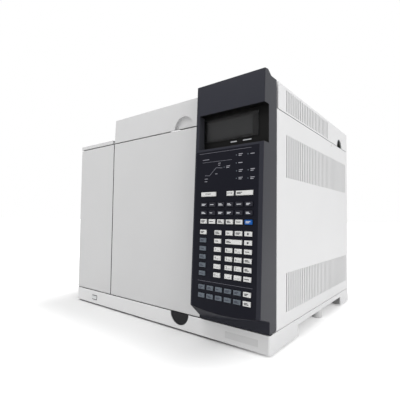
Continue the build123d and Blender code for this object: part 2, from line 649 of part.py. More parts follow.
with BuildPart() as door_panel:
    pan((DOOR_LEFT, DOOR_RIGHT), (FRONT, DOOR_BACK), (DOOR_BOTTOM, DOOR_TOP), COVER_WALL, "+y")
    fillet(door_panel.faces().sort_by(Axis.Y)[0].edges(), DOOR_EDGE)
    door_z = (DOOR_BOTTOM, DOOR_TOP)
    rod("Z", (HINGE_X, HINGE_Y), door_z, HINGE_PIN_RADIUS + PIN_PLAY, mode=Mode.SUBTRACT)
    bolt_hole_z = (DOOR_BOTTOM, DOOR_BOTTOM + COVER_WALL)
    rod("Z", (BUTTON_X, BOLT_Y), bolt_hole_z, BOLT_RADIUS + SEAT, mode=Mode.SUBTRACT)
write(door_panel, "door_panel")

PLUG_X = (OVEN_X - CAVITY_WIDTH / 2 + PLUG_GAP, OVEN_X + CAVITY_WIDTH / 2 - PLUG_GAP)
PLUG_Z = (CAVITY_BOTTOM + PLUG_GAP, CAVITY_TOP - PLUG_GAP)
PLUG_BACK = DOOR_BACK + LINER_SHEET + PLUG_DEPTH
with BuildPart() as door_liner:
    block((DOOR_LEFT + SEAM, DOOR_RIGHT - SEAM), (DOOR_BACK, DOOR_BACK + LINER_SHEET), door_z)
    block(PLUG_X, (DOOR_BACK, PLUG_BACK), PLUG_Z)
    block(
        (PLUG_X[0] + LINER_SHEET, PLUG_X[1] - LINER_SHEET),
        (DOOR_BACK, PLUG_BACK - LINER_SHEET),
        (PLUG_Z[0] + LINER_SHEET, PLUG_Z[1] - LINER_SHEET),
        mode=Mode.SUBTRACT,
    )
write(door_liner, "door_liner")

with BuildPart() as door_insulation:
    block(
        (DOOR_LEFT + COVER_WALL, DOOR_RIGHT - COVER_WALL),
        (FRONT + COVER_WALL, DOOR_BACK),
        (LOW_TAB[1] + HINGE_PIN_LENGTH + SEAT, DECK_UNDER - HINGE_PIN_LENGTH - SEAT),
    )
    block(
        (PLUG_X[0] + LINER_SHEET, PLUG_X[1] - LINER_SHEET),
        (DOOR_BACK, PLUG_BACK - LINER_SHEET),
        (PLUG_Z[0] + LINER_SHEET, PLUG_Z[1] - LINER_SHEET),
    )
write(door_insulation, "door_insulation")

SEAL_INNER_X = (OVEN_X - CAVITY_WIDTH / 2, OVEN_X + CAVITY_WIDTH / 2)
with BuildPart() as door_seal:
    seal_y = (DOOR_BACK + LINER_SHEET, FRAME_Y - SEAT)
    block(
        (SEAL_INNER_X[0] - SEAL_WIDTH, SEAL_INNER_X[1] + SEAL_WIDTH),
        seal_y,
        (CAVITY_BOTTOM - SEAL_WIDTH, CAVITY_TOP + SEAL_WIDTH),
    )
    fillet(door_seal.edges().filter_by(Axis.Y), SEAL_WIDTH)
    block(SEAL_INNER_X, seal_y, (CAVITY_BOTTOM, CAVITY_TOP), mode=Mode.SUBTRACT)
write(door_seal, "door_seal")

# button, latch bolt and the block that guides both
GUIDE_Z = (FLOOR_TOP, BASE_TOP - SEAT)
STEM_Z = sum(GUIDE_Z) / 2
BUTTON_BACK = FRONT + BUTTON_SINK + BUTTON_DEPTH
GUIDE_FRONT = BUTTON_BACK + BUTTON_TRAVEL + SEAT
STEM_PLACES = [(BUTTON_X - STEM_SPREAD, STEM_Z), (BUTTON_X + STEM_SPREAD, STEM_Z)]

with BuildPart() as latch_guide:
    guide_reach = STEM_SPREAD + STEM_RADIUS + GUIDE_SIDE
    block((BUTTON_X - guide_reach, BUTTON_X + guide_reach), (GUIDE_FRONT, FRAME_Y), GUIDE_Z)
    for place in STEM_PLACES:
        rod("Y", place, (GUIDE_FRONT, FRAME_Y), STEM_RADIUS + PIN_PLAY, mode=Mode.SUBTRACT)
    rod("Z", (BUTTON_X, BOLT_Y), GUIDE_Z, BOLT_RADIUS + PIN_PLAY, mode=Mode.SUBTRACT)
write(latch_guide, "latch_guide")

with BuildPart() as latch_bolt:
    rod("Z", (BUTTON_X, BOLT_Y), (GUIDE_Z[0] - BUTTON_TRAVEL, BOLT_TOP), BOLT_RADIUS)
    chamfer(latch_bolt.edges().group_by(Axis.Z)[-1], BOLT_RADIUS / 2)
write(latch_bolt, "latch_bolt")

with BuildPart() as door_button:
    rod("Y", (BUTTON_X, BASE_TOP), (FRONT + BUTTON_SINK, BUTTON_BACK), BUTTON_RADIUS)
    button_top = (BASE_TOP, BASE_TOP + BUTTON_RADIUS)
    button_wide = (BUTTON_X - BUTTON_RADIUS, BUTTON_X + BUTTON_RADIUS)
    block(button_wide, (FRONT, FRAME_Y), button_top, mode=Mode.SUBTRACT)
    for place in STEM_PLACES:
        rod("Y", place, (BUTTON_BACK, FRAME_Y - BUTTON_TRAVEL - SEAT), STEM_RADIUS)
write(door_button, "door_button")

# ---------------------------------------------------------------- power switch
with BuildPart() as switch_body:
    body_x = (SWITCH_X - SWITCH_WIDTH / 2, SWITCH_X + SWITCH_WIDTH / 2)
    body_z = (SWITCH_Z - SWITCH_HEIGHT / 2, SWITCH_Z + SWITCH_HEIGHT / 2)
    block(body_x, (FRONT, FRONT + BASE_WALL), body_z)
    block(
        (body_x[0] - SWITCH_FLANGE, body_x[1] + SWITCH_FLANGE),
        (FRONT + BASE_WALL, FRONT + SWITCH_DEPTH),
        (body_z[0] - SWITCH_FLANGE / 2, FLOOR_UNDER),
    )
    block(
        (body_x[0] + SWITCH_PROUD, body_x[1] - SWITCH_PROUD),
        (FRONT, FRONT + SWITCH_DEPTH - SWITCH_FLANGE),
        (body_z[0] + SWITCH_PROUD, body_z[1] - SWITCH_PROUD),
        mode=Mode.SUBTRACT,
    )
write(switch_body, "switch_body")

with BuildPart() as power_switch:
    cap_x = (body_x[0] + SWITCH_PROUD + SEAT, body_x[1] - SWITCH_PROUD - SEAT)
    cap_z = (body_z[0] + SWITCH_PROUD + SEAT, body_z[1] - SWITCH_PROUD - SEAT)
    cap_back = FRONT + SWITCH_DEPTH - SWITCH_FLANGE - SWITCH_TRAVEL - SEAT
    block(cap_x, (FRONT - SWITCH_PROUD, cap_back), cap_z)
    fillet(power_switch.faces().sort_by(Axis.Y)[0].edges(), SWITCH_PROUD / 2)
write(power_switch, "power_switch")

# ---------------------------------------------------------------- lid
LID_BACK = LID_AXIS_Y + LID_TAIL
with BuildPart() as top_lid:
    with BuildSketch(Plane.XZ.offset(-FRONT)):
        with BuildLine():
            Polyline(
                (LID_LEFT, LID_BOTTOM),
                (LID_RIGHT, LID_BOTTOM),
                (LID_RIGHT, LID_TOP),
                (LID_LEFT + LID_LEAN, LID_TOP),
                close=True,
            )
        make_face()
    extrude(amount=-(LID_BACK - FRONT))
    lid_top_face = top_lid.faces().sort_by(Axis.Z)[-1]
    lid_front_face = top_lid.faces().sort_by(Axis.Y)[0]
    lid_rim = lid_top_face.edges() + lid_front_face.edges().group_by(Axis.Z)[1]
    fillet(lid_rim, COVER_EDGE)
    with BuildSketch(Plane.XZ.offset(-FRONT - COVER_WALL)):
        with BuildLine():
            Polyline(
                (LID_LEFT + COVER_WALL, LID_BOTTOM),
                (LID_RIGHT - COVER_WALL, LID_BOTTOM),
                (LID_RIGHT - COVER_WALL, LID_TOP - COVER_WALL),
                (LID_LEFT + LID_LEAN + COVER_WALL, LID_TOP - COVER_WALL),
                close=True,
            )
        make_face()
    extrude(amount=-(LID_BACK - FRONT), mode=Mode.SUBTRACT)
    # finger scoop: a half-round cup pressed into the front wall
    scoop_x = LID_RIGHT - LID_SCOOP_INSET
    scoop_wide = (scoop_x - LID_SCOOP_RADIUS - COVER_WALL, scoop_x + LID_SCOOP_RADIUS + COVER_WALL)
    scoop_y = (FRONT + COVER_WALL, FRONT + LID_SCOOP_DEPTH + COVER_WALL)
    rod("Y", (scoop_x, LID_BOTTOM), scoop_y, LID_SCOOP_RADIUS + COVER_WALL)
    below = (LID_BOTTOM - LID_SCOOP_RADIUS - COVER_WALL, LID_BOTTOM + DOOR_GAP)
    block(scoop_wide, scoop_y, below, mode=Mode.SUBTRACT)
    scoop_cut = (FRONT, FRONT + LID_SCOOP_DEPTH)
    rod("Y", (scoop_x, LID_BOTTOM), scoop_cut, LID_SCOOP_RADIUS, mode=Mode.SUBTRACT)
    # access holes over the inlets, and the two hinge holes
    for row in PORT_ROWS:
        top_wall = (LID_TOP - COVER_WALL, LID_TOP)
        rod("Z", (PORT_XS[0], FRONT + row), top_wall, ACCESS_RADIUS, mode=Mode.SUBTRACT)
    lid_pin_hole = LID_PIN_RADIUS + PIN_PLAY
    rod("X", lid_axis, (LID_LEFT, EAR_LEFT), lid_pin_hole, mode=Mode.SUBTRACT)
    rod("X", lid_axis, (LID_RIGHT - COVER_WALL, LID_RIGHT), lid_pin_hole, mode=Mode.SUBTRACT)
write(top_lid, "top_lid")

FITTING_Z = DECK_TOP + FITTING_RISE
MODULE_XS = [OVEN_X + (i - (MODULE_COUNT - 1) / 2) * MODULE_PITCH for i in range(MODULE_COUNT)]
FITTING_XS = [x + side * FITTING_SPREAD for x in MODULE_XS for side in (-1, 1)]
with BuildPart() as rear_top_cover:
    pan((LID_LEFT, LID_RIGHT), (REAR_COVER_Y, BACK), (DECK_TOP, LID_TOP), COVER_WALL, "-z")
    fillet(rear_top_cover.faces().sort_by(Axis.Z)[-1].edges(), COVER_EDGE)
    for x in FITTING_XS:
        hole = FITTING_RADIUS + PIN_PLAY
        rod("Y", (x, FITTING_Z), (REAR_IN, BACK), hole, mode=Mode.SUBTRACT)
write(rear_top_cover, "rear_top_cover")

# ---------------------------------------------------------------- oven
CAVITY_X = SEAL_INNER_X
CAVITY_Z = (CAVITY_BOTTOM, CAVITY_TOP)
LINER_X = (CAVITY_X[0] - SHEET, CAVITY_X[1] + SHEET)
LINER_Z = (CAVITY_Z[0] - SHEET, CAVITY_Z[1] + SHEET)
LINER_BACK = CAVITY_BACK + SHEET
PORT_HOLE = PORT_RADIUS + PORT_PLAY

with BuildPart() as oven_liner:
    block(LINER_X, (CAVITY_FRONT, LINER_BACK), LINER_Z)
    block(CAVITY_X, (CAVITY_FRONT, CAVITY_BACK), CAVITY_Z, mode=Mode.SUBTRACT)
    rod("Y", (OVEN_X, OVEN_Z), (CAVITY_BACK, LINER_BACK), SHAFT_HOLE, mode=Mode.SUBTRACT)
    for duct in DUCT_XS:
        block(
            (duct - DUCT_WIDTH / 2, duct + DUCT_WIDTH / 2),
            (CAVITY_BACK, LINER_BACK),
            (DUCT_Z - DUCT_HEIGHT / 2, DUCT_Z + DUCT_HEIGHT / 2),
            mode=Mode.SUBTRACT,
        )
    for place in PORT_PLACES:
        rod("Z", place, (CAVITY_TOP, LINER_Z[1]), PORT_HOLE, mode=Mode.SUBTRACT)
write(oven_liner, "oven_liner")

with BuildPart() as oven_insulation:
    block((BAY_LEFT, BAY_RIGHT), (CAVITY_FRONT, INSULATION_BACK), (FLOOR_TOP, DECK_UNDER))
    block(LINER_X, (CAVITY_FRONT, LINER_BACK), LINER_Z, mode=Mode.SUBTRACT)
    rod("Y", (OVEN_X, OVEN_Z), (LINER_BACK, INSULATION_BACK), SHAFT_HOLE, mode=Mode.SUBTRACT)
    for duct in DUCT_XS:
        block(
            (duct - DUCT_OUT_X, duct + DUCT_OUT_X),
            (LINER_BACK, INSULATION_BACK),
            (DUCT_Z - DUCT_OUT_Z, DUCT_Z + DUCT_OUT_Z),
            mode=Mode.SUBTRACT,
        )
    for place in PORT_PLACES:
        rod("Z", place, (LINER_Z[1], DECK_UNDER), PORT_HOLE, mode=Mode.SUBTRACT)
write(oven_insulation, "oven_insulation")

with BuildPart() as air_ducts:
    for duct in DUCT_XS:
        duct_y = (LINER_BACK, BACK)
        block(
            (duct - DUCT_OUT_X, duct + DUCT_OUT_X),
            duct_y,
            (DUCT_Z - DUCT_OUT_Z, DUCT_Z + DUCT_OUT_Z),
        )
        block(
            (duct - DUCT_WIDTH / 2, duct + DUCT_WIDTH / 2),
            duct_y,
            (DUCT_Z - DUCT_HEIGHT / 2, DUCT_Z + DUCT_HEIGHT / 2),
            mode=Mode.SUBTRACT,
        )
    flap_axis = (FLAP_Y, DUCT_Z)
    flap_hole = (DUCT_XS[0] - DUCT_OUT_X, DUCT_XS[1] + DUCT_OUT_X)
    rod("X", flap_axis, flap_hole, FLAP_SHAFT + PIN_PLAY, mode=Mode.SUBTRACT)
write(air_ducts, "air_ducts")

FLAP_MOTOR_X = DUCT_XS[1] + DUCT_OUT_X
FLAP_END = FLAP_MOTOR_X + FLAP_MOTOR_LENGTH / 2
with BuildPart() as oven_flaps:
    rod("X", flap_axis, (DUCT_XS[0] - DUCT_OUT_X, FLAP_END), FLAP_SHAFT)
    for duct in DUCT_XS:
        flap_half = DUCT_HEIGHT / 2 - 2 * SEAT
        block(
            (duct - DUCT_WIDTH / 2 + 2 * SEAT, duct + DUCT_WIDTH / 2 - 2 * SEAT),
            (FLAP_Y - FLAP_SHEET / 2, FLAP_Y + FLAP_SHEET / 2),
            (DUCT_Z - flap_half, DUCT_Z + flap_half),
        )
write(oven_flaps, "oven_flaps")

with BuildPart() as flap_motor:
    motor_x = (FLAP_MOTOR_X, FLAP_MOTOR_X + FLAP_MOTOR_LENGTH)
    rod("X", flap_axis, motor_x, FLAP_MOTOR_RADIUS)
    motor_bore = (FLAP_MOTOR_X, FLAP_END + SEAT)
    rod("X", flap_axis, motor_bore, FLAP_SHAFT + PIN_PLAY, mode=Mode.SUBTRACT)
write(flap_motor, "flap_motor")

FAN_FRONT = SHROUD_Y + SHEET + 2 * SCREW_HEAD
SHAFT_END = REAR_PLATE_BACK + MOTOR_LENGTH / 3
with BuildPart() as oven_fan:
    rod("Y", (OVEN_X, OVEN_Z), (FAN_FRONT, FAN_FRONT + FAN_DEPTH), FAN_HUB)
    rod("Y", (OVEN_X, OVEN_Z), (FAN_FRONT, SHAFT_END), SHAFT_RADIUS)
    for blade in range(FAN_BLADES):
        with Locations(
            Pos(OVEN_X, FAN_FRONT + FAN_DEPTH / 2, OVEN_Z)
            * Rot(0, 360 / FAN_BLADES * blade, 0)
            * Pos(FAN_RADIUS / 2, 0, 0)
        ):
            Box(FAN_RADIUS, FAN_DEPTH, SHEET)
    back_plate = (FAN_FRONT + FAN_DEPTH, FAN_FRONT + FAN_DEPTH + SHEET)
    rod("Y", (OVEN_X, OVEN_Z), back_plate, FAN_RADIUS)
write(oven_fan, "oven_fan")

with BuildPart() as fan_motor:
    fan_motor_y = (REAR_PLATE_BACK, REAR_PLATE_BACK + MOTOR_LENGTH)
    rod("Y", (OVEN_X, OVEN_Z), fan_motor_y, MOTOR_RADIUS)
    fillet(fan_motor.edges().group_by(Axis.Y)[-1], BASE_CORNER)
    bore_y = (REAR_PLATE_BACK, SHAFT_END + SEAT)
    rod("Y", (OVEN_X, OVEN_Z), bore_y, SHAFT_RADIUS + PIN_PLAY, mode=Mode.SUBTRACT)
write(fan_motor, "fan_motor")

SHROUD_X = (CAVITY_X[0] + SHROUD_MARGIN, CAVITY_X[1] - SHROUD_MARGIN)
SHROUD_Z = (CAVITY_Z[0] + SHROUD_MARGIN, CAVITY_Z[1] - SHROUD_MARGIN)
with BuildPart() as fan_shroud:
    block(SHROUD_X, (SHROUD_Y, SHROUD_Y + SHEET), SHROUD_Z)
    shroud_sheet = (SHROUD_Y, SHROUD_Y + SHEET)
    rod("Y", (OVEN_X, OVEN_Z), shroud_sheet, SHROUD_INTAKE, mode=Mode.SUBTRACT)
    for ring in (SHROUD_INTAKE / 3, 2 * SHROUD_INTAKE / 3):
        rod("Y", (OVEN_X, OVEN_Z), shroud_sheet, ring + SHEET)
        rod("Y", (OVEN_X, OVEN_Z), shroud_sheet, ring, mode=Mode.SUBTRACT)
    for turn in range(SHROUD_BARS):
        bar_turn = 180 / SHROUD_BARS * turn
        with Locations(Pos(OVEN_X, SHROUD_Y + SHEET / 2, OVEN_Z) * Rot(0, bar_turn, 0)):
            Box(2 * SHROUD_INTAKE + BASE_CORNER, SHEET, BASE_CORNER)
    for x in SHROUD_X:
        for z in SHROUD_Z:
            inward_x = x + math.copysign(SHROUD_MARGIN, OVEN_X - x)
            inward_z = z + math.copysign(SHROUD_MARGIN, OVEN_Z - z)
            rod("Y", (inward_x, inward_z), (SHROUD_Y, CAVITY_BACK), BASE_CORNER)
write(fan_shroud, "fan_shroud")

with BuildPart() as heater_posts:
    for turn in range(POST_COUNT):
        angle = math.radians(360 / POST_COUNT * (turn + 0.5))
        reach = sum(HEATER_RADII) / 2
        place = (OVEN_X + reach * math.cos(angle), OVEN_Z + reach * math.sin(angle))
        rod("Y", place, (CAVITY_BACK - HEATER_BACK + HEATER_WIRE, CAVITY_BACK), HEATER_POST)
write(heater_posts, "heater_posts")

with BuildPart() as heater_coils:
    for ring in HEATER_RADII:
        with Locations([(OVEN_X, CAVITY_BACK - HEATER_BACK, OVEN_Z)]):
            Torus(ring, HEATER_WIRE - PIN_PLAY, rotation=(90, 0, 0))
write(heater_coils, "heater_coils")

# ---------------------------------------------------------------- column, inlets and detectors
COLUMN_Y = FRONT + PORT_ROWS[0]
COLUMN_Z = OVEN_Z - COLUMN_DROP
PORT_BOTTOM = CAVITY_TOP - PORT_DROP
TUBE_PLACES = [(PORT_XS[0], PORT_PLACES[0][1]), (PORT_XS[1], PORT_PLACES[0][1])]

with BuildPart() as column:
    with Locations([(OVEN_X, COLUMN_Y, COLUMN_Z)]):
        Torus(COIL_RADIUS, COIL_SECTION, rotation=(90, 0, 0))
    for x, y in TUBE_PLACES:
        rise = math.sqrt(COIL_RADIUS**2 - (x - OVEN_X) ** 2)
        rod("Z", (x, y), (COLUMN_Z + rise - COIL_SECTION / 2, PORT_BOTTOM), TUBE_RADIUS)
write(column, "column")

with BuildPart() as column_hanger:
    hook_y = (COLUMN_Y - CAGE_WIDTH / 2, COLUMN_Y + CAGE_WIDTH / 2)
    cage_radius = COIL_RADIUS - COIL_SECTION - SEAT
    for y in hook_y:
        hoop = (y - CAGE_WIRE, y + CAGE_WIRE)
        rod("Y", (OVEN_X, COLUMN_Z), hoop, cage_radius)
        rod("Y", (OVEN_X, COLUMN_Z), hoop, cage_radius - 2 * CAGE_WIRE, mode=Mode.SUBTRACT)
    for turn in range(CAGE_RODS):
        angle = math.radians(360 / CAGE_RODS * (turn + 0.5))
        reach = cage_radius - CAGE_WIRE
        place = (OVEN_X + reach * math.cos(angle), COLUMN_Z + reach * math.sin(angle))
        rod("Y", place, hook_y, CAGE_WIRE / 2)
    for side in (-1, 1):
        x = OVEN_X + side * HANGER_SPREAD
        low = COLUMN_Z + math.sqrt(cage_radius**2 - HANGER_SPREAD**2) - 2 * CAGE_WIRE
        for y in hook_y:
            rod("Z", (x, y), (low, CAVITY_TOP), CAGE_WIRE)
write(column_hanger, "column_hanger")

with BuildPart() as column_nuts:
    with BuildSketch(Plane.XY.offset(PORT_BOTTOM - COLUMN_NUT_LENGTH)):
        with Locations(PORT_PLACES):
            RegularPolygon(COLUMN_NUT_RADIUS, 6)
        with Locations(TUBE_PLACES):
            Circle(TUBE_RADIUS + PIN_PLAY, mode=Mode.SUBTRACT)
    extrude(amount=COLUMN_NUT_LENGTH)
write(column_nuts, "column_nuts")

FLANGE_TOP = DECK_TOP + SIDE_WALL
INLET_TOP = DECK_TOP + PORT_RISE
with BuildPart() as inlets:
    for place in PORT_PLACES[: len(PORT_ROWS)]:
        rod("Z", place, (LINER_Z[1], INLET_TOP), PORT_RADIUS)
        rod("Z", place, (DECK_TOP, FLANGE_TOP), PORT_FLANGE)
        rod("Z", place, (PORT_BOTTOM, INLET_TOP), COLUMN_NUT_RADIUS + SHEET)
        rod("Z", place, (INLET_TOP, INLET_TOP + NUT_HEIGHT / 2), INLET_BOSS)
write(inlets, "inlets")

with BuildPart() as septum_nuts:
    for place in PORT_PLACES[: len(PORT_ROWS)]:
        nut_z = (INLET_TOP, INLET_TOP + NUT_HEIGHT)
        rod("Z", place, nut_z, NUT_RADIUS)
        boss = (INLET_TOP, INLET_TOP + NUT_HEIGHT / 2)
        rod("Z", place, boss, INLET_BOSS + PIN_PLAY, mode=Mode.SUBTRACT)
        rod("Z", place, nut_z, SHEET, mode=Mode.SUBTRACT)
    chamfer(septum_nuts.faces().sort_by(Axis.Z)[-2:].edges().filter_by(GeomType.CIRCLE), SEAT)
write(septum_nuts, "septum_nuts")

CHIMNEY_TOP = LID_TOP - COVER_WALL - 2 * PLUG_FLANGE
with BuildPart() as detectors:
    for place in PORT_PLACES[len(PORT_ROWS) :]:
        rod("Z", place, (LINER_Z[1], DECK_TOP + FITTING_RISE), PORT_RADIUS)
        rod("Z", place, (DECK_TOP, FLANGE_TOP), PORT_FLANGE)
        rod("Z", place, (PORT_BOTTOM, LINER_Z[1]), COLUMN_NUT_RADIUS + SHEET)
        rod("Z", place, (DECK_TOP + FITTING_RISE, CHIMNEY_TOP), INLET_BOSS)
        igniter = (place[1], CHIMNEY_TOP - INLET_BOSS)
        rod("X", igniter, (place[0], place[0] + 3 * INLET_BOSS), SHAFT_RADIUS)
write(detectors, "detectors")

with BuildPart() as flow_modules:
    for x in MODULE_XS:
        module_y = (REAR_COVER_Y + 2 * COVER_WALL, REAR_IN)
        block(
            (x - MODULE_WIDTH / 2, x + MODULE_WIDTH / 2),
            module_y,
            (DECK_TOP, DECK_TOP + MODULE_HEIGHT),
        )
write(flow_modules, "flow_modules")

with BuildPart() as gas_fittings:
    for x in FITTING_XS:
        rod("Y", (x, FITTING_Z), (REAR_IN, BACK + FITTING_REACH), FITTING_RADIUS)
        with BuildSketch(Plane.XZ.offset(-BACK)):
            with Locations([(x, FITTING_Z)]):
                RegularPolygon(FITTING_HEX, 6, major_radius=False)
        extrude(amount=-FITTING_HEX_LENGTH)
        bore = (BACK, BACK + FITTING_REACH)
        rod("Y", (x, FITTING_Z), bore, FITTING_RADIUS / 2, mode=Mode.SUBTRACT)
write(gas_fittings, "gas_fittings")

# ---------------------------------------------------------------- console
FACE_Y = FRONT - KEYPAD_REACH
HEAD_Y = FACE_Y + HEAD_SETBACK
CONSOLE_TOP = RIGHT_TOP - SEAM / 3
NOTCH_TOP = HEAD_EDGE - NOTCH_DROP
NOTCH_Z = (NOTCH_TOP - NOTCH_HEIGHT, NOTCH_TOP)
NOTCH_LEFT = CONSOLE_LEFT + NOTCH_MARGIN
NOTCH_BACK = FRONT - NOTCH_SHORT
KEY_FACE = Plane(
    origin=(CONSOLE_LEFT, FACE_Y, FACE_BOTTOM),
    x_dir=(1, 0, 0),
    z_dir=(0, FACE_BOTTOM - HEAD_EDGE, HEAD_Y - FACE_Y),
)

DOUBLE_WIDTH = KEY_WIDTH + KEY_COLUMN
columns = [KEY_LEFT + i * KEY_COLUMN for i in range(6)]
number_columns = [KEY_LEFT + MODE_COLUMN] + columns[3:5]
number_rows = [NUMBER_ROW + i * KEY_ROW for i in range(6)]
lower_rows = [BOTTOM_ROW, BOTTOM_ROW + KEY_ROW]
# each group: (width, [(centre across, centre up the face), ...])
KEY_GROUPS = {
    "start_key": [(DOUBLE_WIDTH, (columns[0] + KEY_COLUMN / 2, RUN_ROW))],
    "stop_key": [(KEY_WIDTH, (columns[3], RUN_ROW))],
    "prep_run_key": [(DOUBLE_WIDTH, (columns[4] + KEY_COLUMN / 2, RUN_ROW))],
    "status_keys": [
        (KEY_WIDTH, (x, STATUS_ROW + row * KEY_ROW)) for row in range(2) for x in columns
    ],
    "info_key": [(KEY_WIDTH, (columns[5], SHORTCUT_ROW))],
    "command_keys": [(KEY_WIDTH, (x, SHORTCUT_ROW)) for x in columns[:5]]
    + [(KEY_WIDTH, (x, number_rows[5])) for x in [columns[0]] + number_columns]
    + [(KEY_WIDTH, (number_columns[0], number_rows[4]))]
    + [(DOUBLE_WIDTH, (sum(number_columns[1:]) / 2, number_rows[4]))]
    + [(KEY_WIDTH, (columns[5], y)) for y in number_rows + lower_rows],
    "number_keys": [(KEY_WIDTH, (x, y)) for y in number_rows[:4] for x in number_columns],
    "setting_keys": [(KEY_WIDTH, (columns[0], y)) for y in number_rows[:5]]
    + [(KEY_WIDTH, (x, y)) for y in lower_rows for x in columns[:5]],
}


# side outline of the console's head and back: (Y, Z)
HEAD_OUTLINE = [
    (HEAD_Y, HEAD_EDGE),
    (HEAD_Y + HEAD_FLAT, HEAD_EDGE + HEAD_LIP),
    (HEAD_Y + HEAD_BACK, CONSOLE_TOP),
    (FRAME_Y, CONSOLE_TOP),
    (FRAME_Y, DOOR_BOTTOM),
]
HOLLOW_OUTLINE = [
    (FRONT, DOOR_BOTTOM),
    (FRONT, DOOR_BOTTOM + max(CHIN_RISES)),
    (FACE_Y, DOOR_BOTTOM + max(LIP_RISES)),
] + HEAD_OUTLINE
HOUSING_OUTLINE = [(FACE_Y - FACE_RISE * math.tan(FACE_LEAN), DOOR_BOTTOM)] + HEAD_OUTLINE

# what is cut away under the face, from its curved lower edge back to the upright chin
with BuildPart() as chin_cut:
    cut_x = (CONSOLE_LEFT - SEAM, SKIN_X + SEAM)
    cut_low = DOOR_BOTTOM - SEAM
    for section_y, rises in ((FACE_Y - SEAM, LIP_RISES), (FRONT, CHIN_RISES)):
        left, middle, right = [DOOR_BOTTOM + rise for rise in rises]
        with BuildSketch(Plane.XZ.offset(-section_y)):
            with BuildLine():
                ThreePointArc((cut_x[0], left), (sum(cut_x) / 2, middle), (cut_x[1], right))
                Polyline((cut_x[1], right), (cut_x[1], cut_low), (cut_x[0], cut_low), (cut_x[0], left))
            make_face()
    loft()

with BuildPart() as console_hollow:
    with BuildSketch(Plane.YZ.offset(CONSOLE_LEFT + COVER_WALL)):
        with BuildLine():
            Polyline(*HOLLOW_OUTLINE, close=True)
        make_face()
        offset(amount=-COVER_WALL, kind=Kind.INTERSECTION)
    extrude(amount=SKIN_X - CONSOLE_LEFT - 2 * COVER_WALL)
    block(
        (CONSOLE_LEFT + COVER_WALL, SKIN_X - COVER_WALL),
        (FRAME_Y - COVER_WALL, FRAME_Y),
        (DOOR_BOTTOM + COVER_WALL, CONSOLE_TOP - COVER_WALL),
    )
    block(
        (NOTCH_LEFT - COVER_WALL, SKIN_X),
        (FACE_Y, NOTCH_BACK + COVER_WALL),
        (NOTCH_Z[0] - COVER_WALL, NOTCH_Z[1] + COVER_WALL),
        mode=Mode.SUBTRACT,
    )

BOARD_PLACES = [
    (x, y)
    for x in (BOTTOM_ROW / 2, CONSOLE_WIDTH - BOTTOM_ROW / 2 + KEY_COLLAR)
    for y in (BOTTOM_ROW / 2, STATUS_ROW / 2, RUN_ROW + KEY_HEIGHT)
]
with BuildPart() as console_housing:
    with BuildSketch(Plane.YZ.offset(CONSOLE_LEFT)):
        with BuildLine():
            Polyline(*HOUSING_OUTLINE, close=True)
        make_face()
    extrude(amount=SKIN_X - CONSOLE_LEFT)
    front_edges = [
        edge
        for edge in console_housing.edges()
        if edge.center().Y < FRAME_Y - SEAM and edge.center().Z > DOOR_BOTTOM + SEAM
    ]
    fillet(front_edges, CONSOLE_EDGE)
    add(chin_cut.part, mode=Mode.SUBTRACT)
    add(console_hollow.part, mode=Mode.SUBTRACT)
    block((NOTCH_LEFT, SKIN_X), (FACE_Y, NOTCH_BACK), NOTCH_Z, mode=Mode.SUBTRACT)
    # window behind the lens
    lens_x = (NOTCH_LEFT + SEAT, NOTCH_LEFT + SEAT + LENS_WIDTH)
    lens_z = (NOTCH_TOP - LENS_DROP - LENS_HEIGHT, NOTCH_TOP - LENS_DROP)
    window_x = (lens_x[0] + LENS_RIM, lens_x[1] - LENS_TAIL)
    window_z = (lens_z[0] + LENS_RIM, lens_z[1] - LENS_RIM)
    block(window_x, (NOTCH_BACK, NOTCH_BACK + COVER_WALL), window_z, mode=Mode.SUBTRACT)
    # key openings, and posts for the key board
    for keys in KEY_GROUPS.values():
        for wide, place in keys:
            with BuildSketch(KEY_FACE.offset(-COVER_WALL - CONSOLE_EDGE)):
                with Locations([place]):
                    Rectangle(wide + 2 * KEY_PLAY, KEY_HEIGHT + 2 * KEY_PLAY)
            extrude(amount=COVER_WALL + 2 * CONSOLE_EDGE, mode=Mode.SUBTRACT)
    with BuildSketch(KEY_FACE.offset(-BOARD_DROP)):
        with Locations(BOARD_PLACES):
            Circle(SCREW_HEAD)
    extrude(amount=BOARD_DROP - COVER_WALL / 2)
write(console_housing, "console_housing")

for group, keys in KEY_GROUPS.items():
    with BuildPart() as key_group:
        for wide, place in keys:
            with BuildSketch(KEY_FACE.offset(KEY_TRAVEL - BOARD_DROP + SEAT)):
                with Locations([place]):
                    Rectangle(wide, KEY_HEIGHT)
            extrude(amount=BOARD_DROP - KEY_TRAVEL - SEAT + KEY_PROUD)
            with BuildSketch(KEY_FACE.offset(-COVER_WALL - SEAT - KEY_COLLAR)):
                with Locations([place]):
                    Rectangle(wide + 3 * KEY_PLAY, KEY_HEIGHT + 3 * KEY_PLAY)
            extrude(amount=KEY_COLLAR)
        cap_edges = [
            edge
            for edge in key_group.edges()
            if KEY_FACE.to_local_coords(edge.center()).Z > KEY_PROUD - SEAT
        ]
        chamfer(cap_edges, KEY_PLAY)
    write(key_group, group)

with BuildPart() as key_board:
    with BuildSketch(KEY_FACE.offset(-BOARD_DROP - BOARD_SHEET)):
        board_low = BOTTOM_ROW / 2 - SCREW_HEAD
        board_high = RUN_ROW + KEY_HEIGHT + SCREW_HEAD
        with Locations([(CONSOLE_WIDTH / 2, (board_low + board_high) / 2)]):
            Rectangle(CONSOLE_WIDTH - 2 * COVER_WALL - 4 * SEAM, board_high - board_low)
    extrude(amount=BOARD_SHEET)
write(key_board, "key_board")

with BuildPart() as display_lens:
    block(lens_x, (NOTCH_BACK - LENS_THICKNESS, NOTCH_BACK), lens_z)
write(display_lens, "display_lens")

